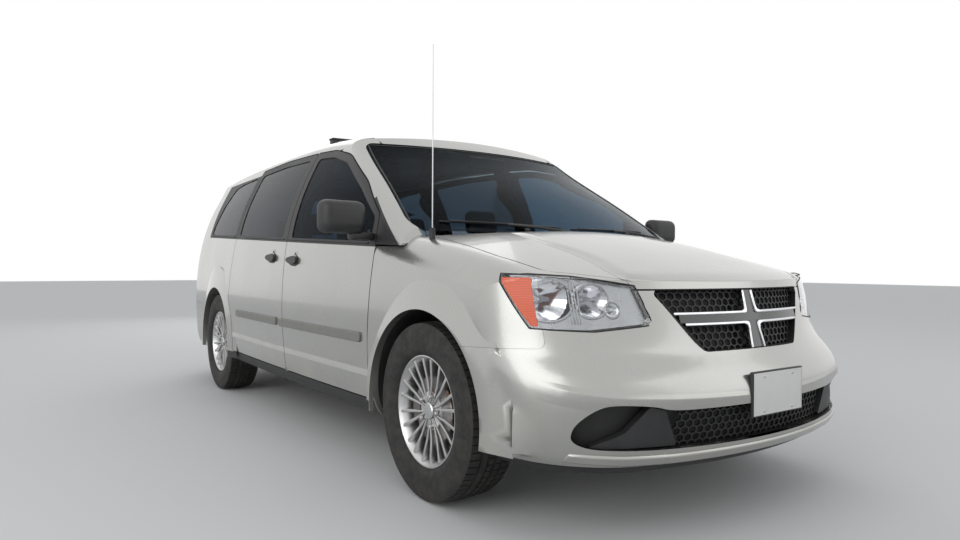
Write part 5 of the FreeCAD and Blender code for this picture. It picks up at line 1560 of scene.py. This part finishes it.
class MINIVAN_OT_seats(bpy.types.Operator):
    """Upholster the seats with puffed, seamed cushions"""
    bl_idname = "minivan.seats"
    bl_label = "Seats"

    # Pad: name, size, middle from the seat's point on the floor, tilt back, how much narrower its top is
    pads = (
        ("cushion", (0.490, 0.490, 0.130), (0.006, 0.0, 0.530), 0.05, 1.0),
        ("back", (0.125, 0.470, 0.540), (-0.272, 0.0, 0.860), -0.27, 0.86),
        ("rest", (0.085, 0.245, 0.155), (-0.403, 0.0, 1.246), -0.20, 0.92),
    )
    # Row of seats: name, node, x and y of a seat's point on the floor
    places = (("front", "front_seats", 0.540, 0.390), ("middle", "middle_seats", -0.420, 0.390),
              ("rear", "rear_bench", -1.330, 0.270))

    def execute(self, context):
        cloth = seat_cloth("seat_cloth")
        plastic = moulded_plastic("seat_base_plastic", (0.030, 0.030, 0.031), 0.6)
        steel = bare_metal("rest_stalk_steel", (0.5, 0.5, 0.5), 0.3)
        templates = [(pad[0], self.make_pad(pad)) for pad in self.pads]
        for row, node, x, y in self.places:
            for side_name, side in SIDES:
                tag = "%s_%s" % (row, side_name)
                for pad_name, template in templates:
                    data = template.copy()
                    data.transform(Matrix.Translation((x, side * y, 0)))
                    piece = bpy.data.objects.new("seat_%s_%s" % (pad_name, tag), data)
                    context.scene.collection.objects.link(piece)
                    data.materials.append(cloth)
                    smooth = piece.modifiers.new("smooth", "SUBSURF")
                    smooth.levels = 1
                    smooth.render_levels = 1
                    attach(piece, "root")
                    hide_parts(node)
                width = 0.190 if row != "rear" else 0.200
                low = (x - 0.225, side * y - width, 0.318)
                high = (x + 0.150, side * y + width, 0.455)
                base = block("seat_base_" + tag, low, high, plastic, round_off=0.012)
                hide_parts(node)
                for stalk, across in (("inner", -0.055), ("outer", 0.055)):
                    foot = Vector((x - 0.352, side * y + across, 1.085))
                    head = Vector((x - 0.388, side * y + across, 1.200))
                    tube("seat_stalk_%s_%s" % (stalk, tag), [foot, head], 0.006, steel)
        return {"FINISHED"}

    def make_pad(self, pad):
        """The mesh of one puffed pad with its seams, in its place on a seat."""
        name, size, middle, tilt, top_share = pad
        shape = bmesh.new()
        bmesh.ops.create_cube(shape, size=1.0)
        for vert in shape.verts:
            if vert.co.z > 0:
                vert.co.y *= top_share
                vert.co.x *= top_share
            vert.co = Vector(part * length for part, length in zip(vert.co, size))
        bevel_edges(shape, min(size) * 0.36, 5)
        data = puffed(shape, 0.014, 4.0, 0.022)
        seams = (-0.135, 0.135) if name != "rest" else ()
        for vert in data.vertices:
            for seam in seams:
                near = math.exp(-((vert.co.y - seam) / 0.009) ** 2)
                vert.co -= vert.normal * 0.007 * near
        for polygon in data.polygons:
            polygon.use_smooth = True
        data.transform(Matrix.Translation(middle) @ Matrix.Rotation(tilt, 4, "Y"))
        return data


class MINIVAN_OT_stage(bpy.types.Operator):
    """Lay the floor and set the lights and the camera"""
    bl_idname = "minivan.stage"
    bl_label = "Stage"

    def execute(self, context):
        stage = context.scene.minivan_stage
        self.lay_floor()
        self.set_lights(context, stage)
        self.set_camera(context, stage)
        context.scene.view_settings.view_transform = "Standard"
        return {"FINISHED"}

    def lay_floor(self):
        """A pale floor, large enough to fill the view."""
        shape = bmesh.new()
        bmesh.ops.create_grid(shape, x_segments=1, y_segments=1, size=40.0)
        data = bpy.data.meshes.new("floor")
        shape.to_mesh(data)
        shape.free()
        floor = bpy.data.objects.new("floor", data)
        bpy.context.scene.collection.objects.link(floor)
        material, tree, shader = start_material("pale_floor")
        connect(tree, shader, {"Base Color": (0.72, 0.72, 0.71, 1.0), "Roughness": 0.9})
        data.materials.append(material)

    def set_lights(self, context, stage):
        """A white background with an even light, and three soft lamps."""
        world = bpy.data.worlds.new("studio")
        context.scene.world = world
        world.use_nodes = True
        tree = world.node_tree
        tree.nodes.clear()
        output = tree.nodes.new("ShaderNodeOutputWorld")
        path = tree.nodes.new("ShaderNodeLightPath")
        seen = math_node(tree, "MAXIMUM", path.outputs["Is Camera Ray"], path.outputs["Is Glossy Ray"])
        seen = math_node(tree, "MAXIMUM", seen, path.outputs["Is Transmission Ray"])
        sky = {"Color": (0.93, 0.96, 1.0, 1.0), "Strength": stage.sky_strength}
        even = add_node(tree, "ShaderNodeBackground", sky)
        white = add_node(tree, "ShaderNodeBackground", {"Color": (1.0, 1.0, 1.0, 1.0), "Strength": 1.0})
        mix = add_node(tree, "ShaderNodeMixShader", {0: seen, 1: even.outputs[0], 2: white.outputs[0]})
        tree.links.new(mix.outputs[0], output.inputs["Surface"])
        # Lamp: name, place, width, power
        lamps = (
            ("key_light", (3.0, -7.5, 3.6), 6.0, stage.key_power),
            ("fill_light", (7.5, 4.5, 3.6), 6.0, stage.key_power * 0.40),
            ("back_light", (-7.0, 2.5, 4.2), 6.0, stage.key_power * 0.40),
        )
        for name, place, width, power in lamps:
            light = bpy.data.lights.new(name, "AREA")
            light.size = width
            light.energy = power
            lamp = bpy.data.objects.new(name, light)
            lamp.location = place
            aim = Vector((0.3, 0.0, 0.7)) - Vector(place)
            lamp.rotation_euler = aim.to_track_quat("-Z", "Y").to_euler()
            context.scene.collection.objects.link(lamp)

    def set_camera(self, context, stage):
        """A camera from its place, its direction of view and its roll."""
        forward = Vector((math.cos(stage.elevation) * math.cos(stage.azimuth),
                          math.cos(stage.elevation) * math.sin(stage.azimuth), math.sin(stage.elevation)))
        right = forward.cross(Vector((0, 0, 1))).normalized()
        up = right.cross(forward)
        turned_right = right * math.cos(stage.roll) + up * math.sin(stage.roll)
        turned_up = up * math.cos(stage.roll) - right * math.sin(stage.roll)
        data = bpy.data.cameras.new("camera")
        data.lens = stage.lens
        data.sensor_width = 36.0
        data.clip_start = 0.05
        data.clip_end = 200.0
        camera = bpy.data.objects.new("camera", data)
        basis = Matrix((turned_right, turned_up, -forward)).transposed().to_4x4()
        camera.matrix_world = Matrix.Translation(stage.place) @ basis
        context.scene.collection.objects.link(camera)
        context.scene.camera = camera


class MINIVAN_PT_panel(bpy.types.Panel):
    """Lists the steps that dress the minivan"""
    bl_label = "Minivan"
    bl_idname = "MINIVAN_PT_panel"
    bl_space_type = "VIEW_3D"
    bl_region_type = "UI"
    bl_category = "Minivan"

    def draw(self, context):
        for step in STEPS:
            self.layout.operator(step.bl_idname)


SETTINGS = (
    ("minivan_paint", PaintSettings),
    ("minivan_tyre", TyreSettings),
    ("minivan_stage", StageSettings),
)
STEPS = (
    MINIVAN_OT_stage,
    MINIVAN_OT_paint,
    MINIVAN_OT_glass,
    MINIVAN_OT_running_gear,
    MINIVAN_OT_trim,
    MINIVAN_OT_lamps,
    MINIVAN_OT_front,
    MINIVAN_OT_sides,
    MINIVAN_OT_tail,
    MINIVAN_OT_roof_trim,
    MINIVAN_OT_tyres,
    MINIVAN_OT_brakes,
    MINIVAN_OT_seats,
)


def register():
    """Add the settings, the steps and the panel."""
    for name, group in SETTINGS:
        bpy.utils.register_class(group)
        setattr(bpy.types.Scene, name, PointerProperty(type=group))
    for step in STEPS:
        bpy.utils.register_class(step)
    bpy.utils.register_class(MINIVAN_PT_panel)


def unregister():
    """Remove them."""
    bpy.utils.unregister_class(MINIVAN_PT_panel)
    for step in reversed(STEPS):
        bpy.utils.unregister_class(step)
    for name, group in reversed(SETTINGS):
        delattr(bpy.types.Scene, name)
        bpy.utils.unregister_class(group)


def main():
    """Dress the minivan."""
    register()
    for step in STEPS:
        name = step.bl_idname.split(".")[1]
        getattr(bpy.ops.minivan, name)()


if __name__ == "__main__":
    main()
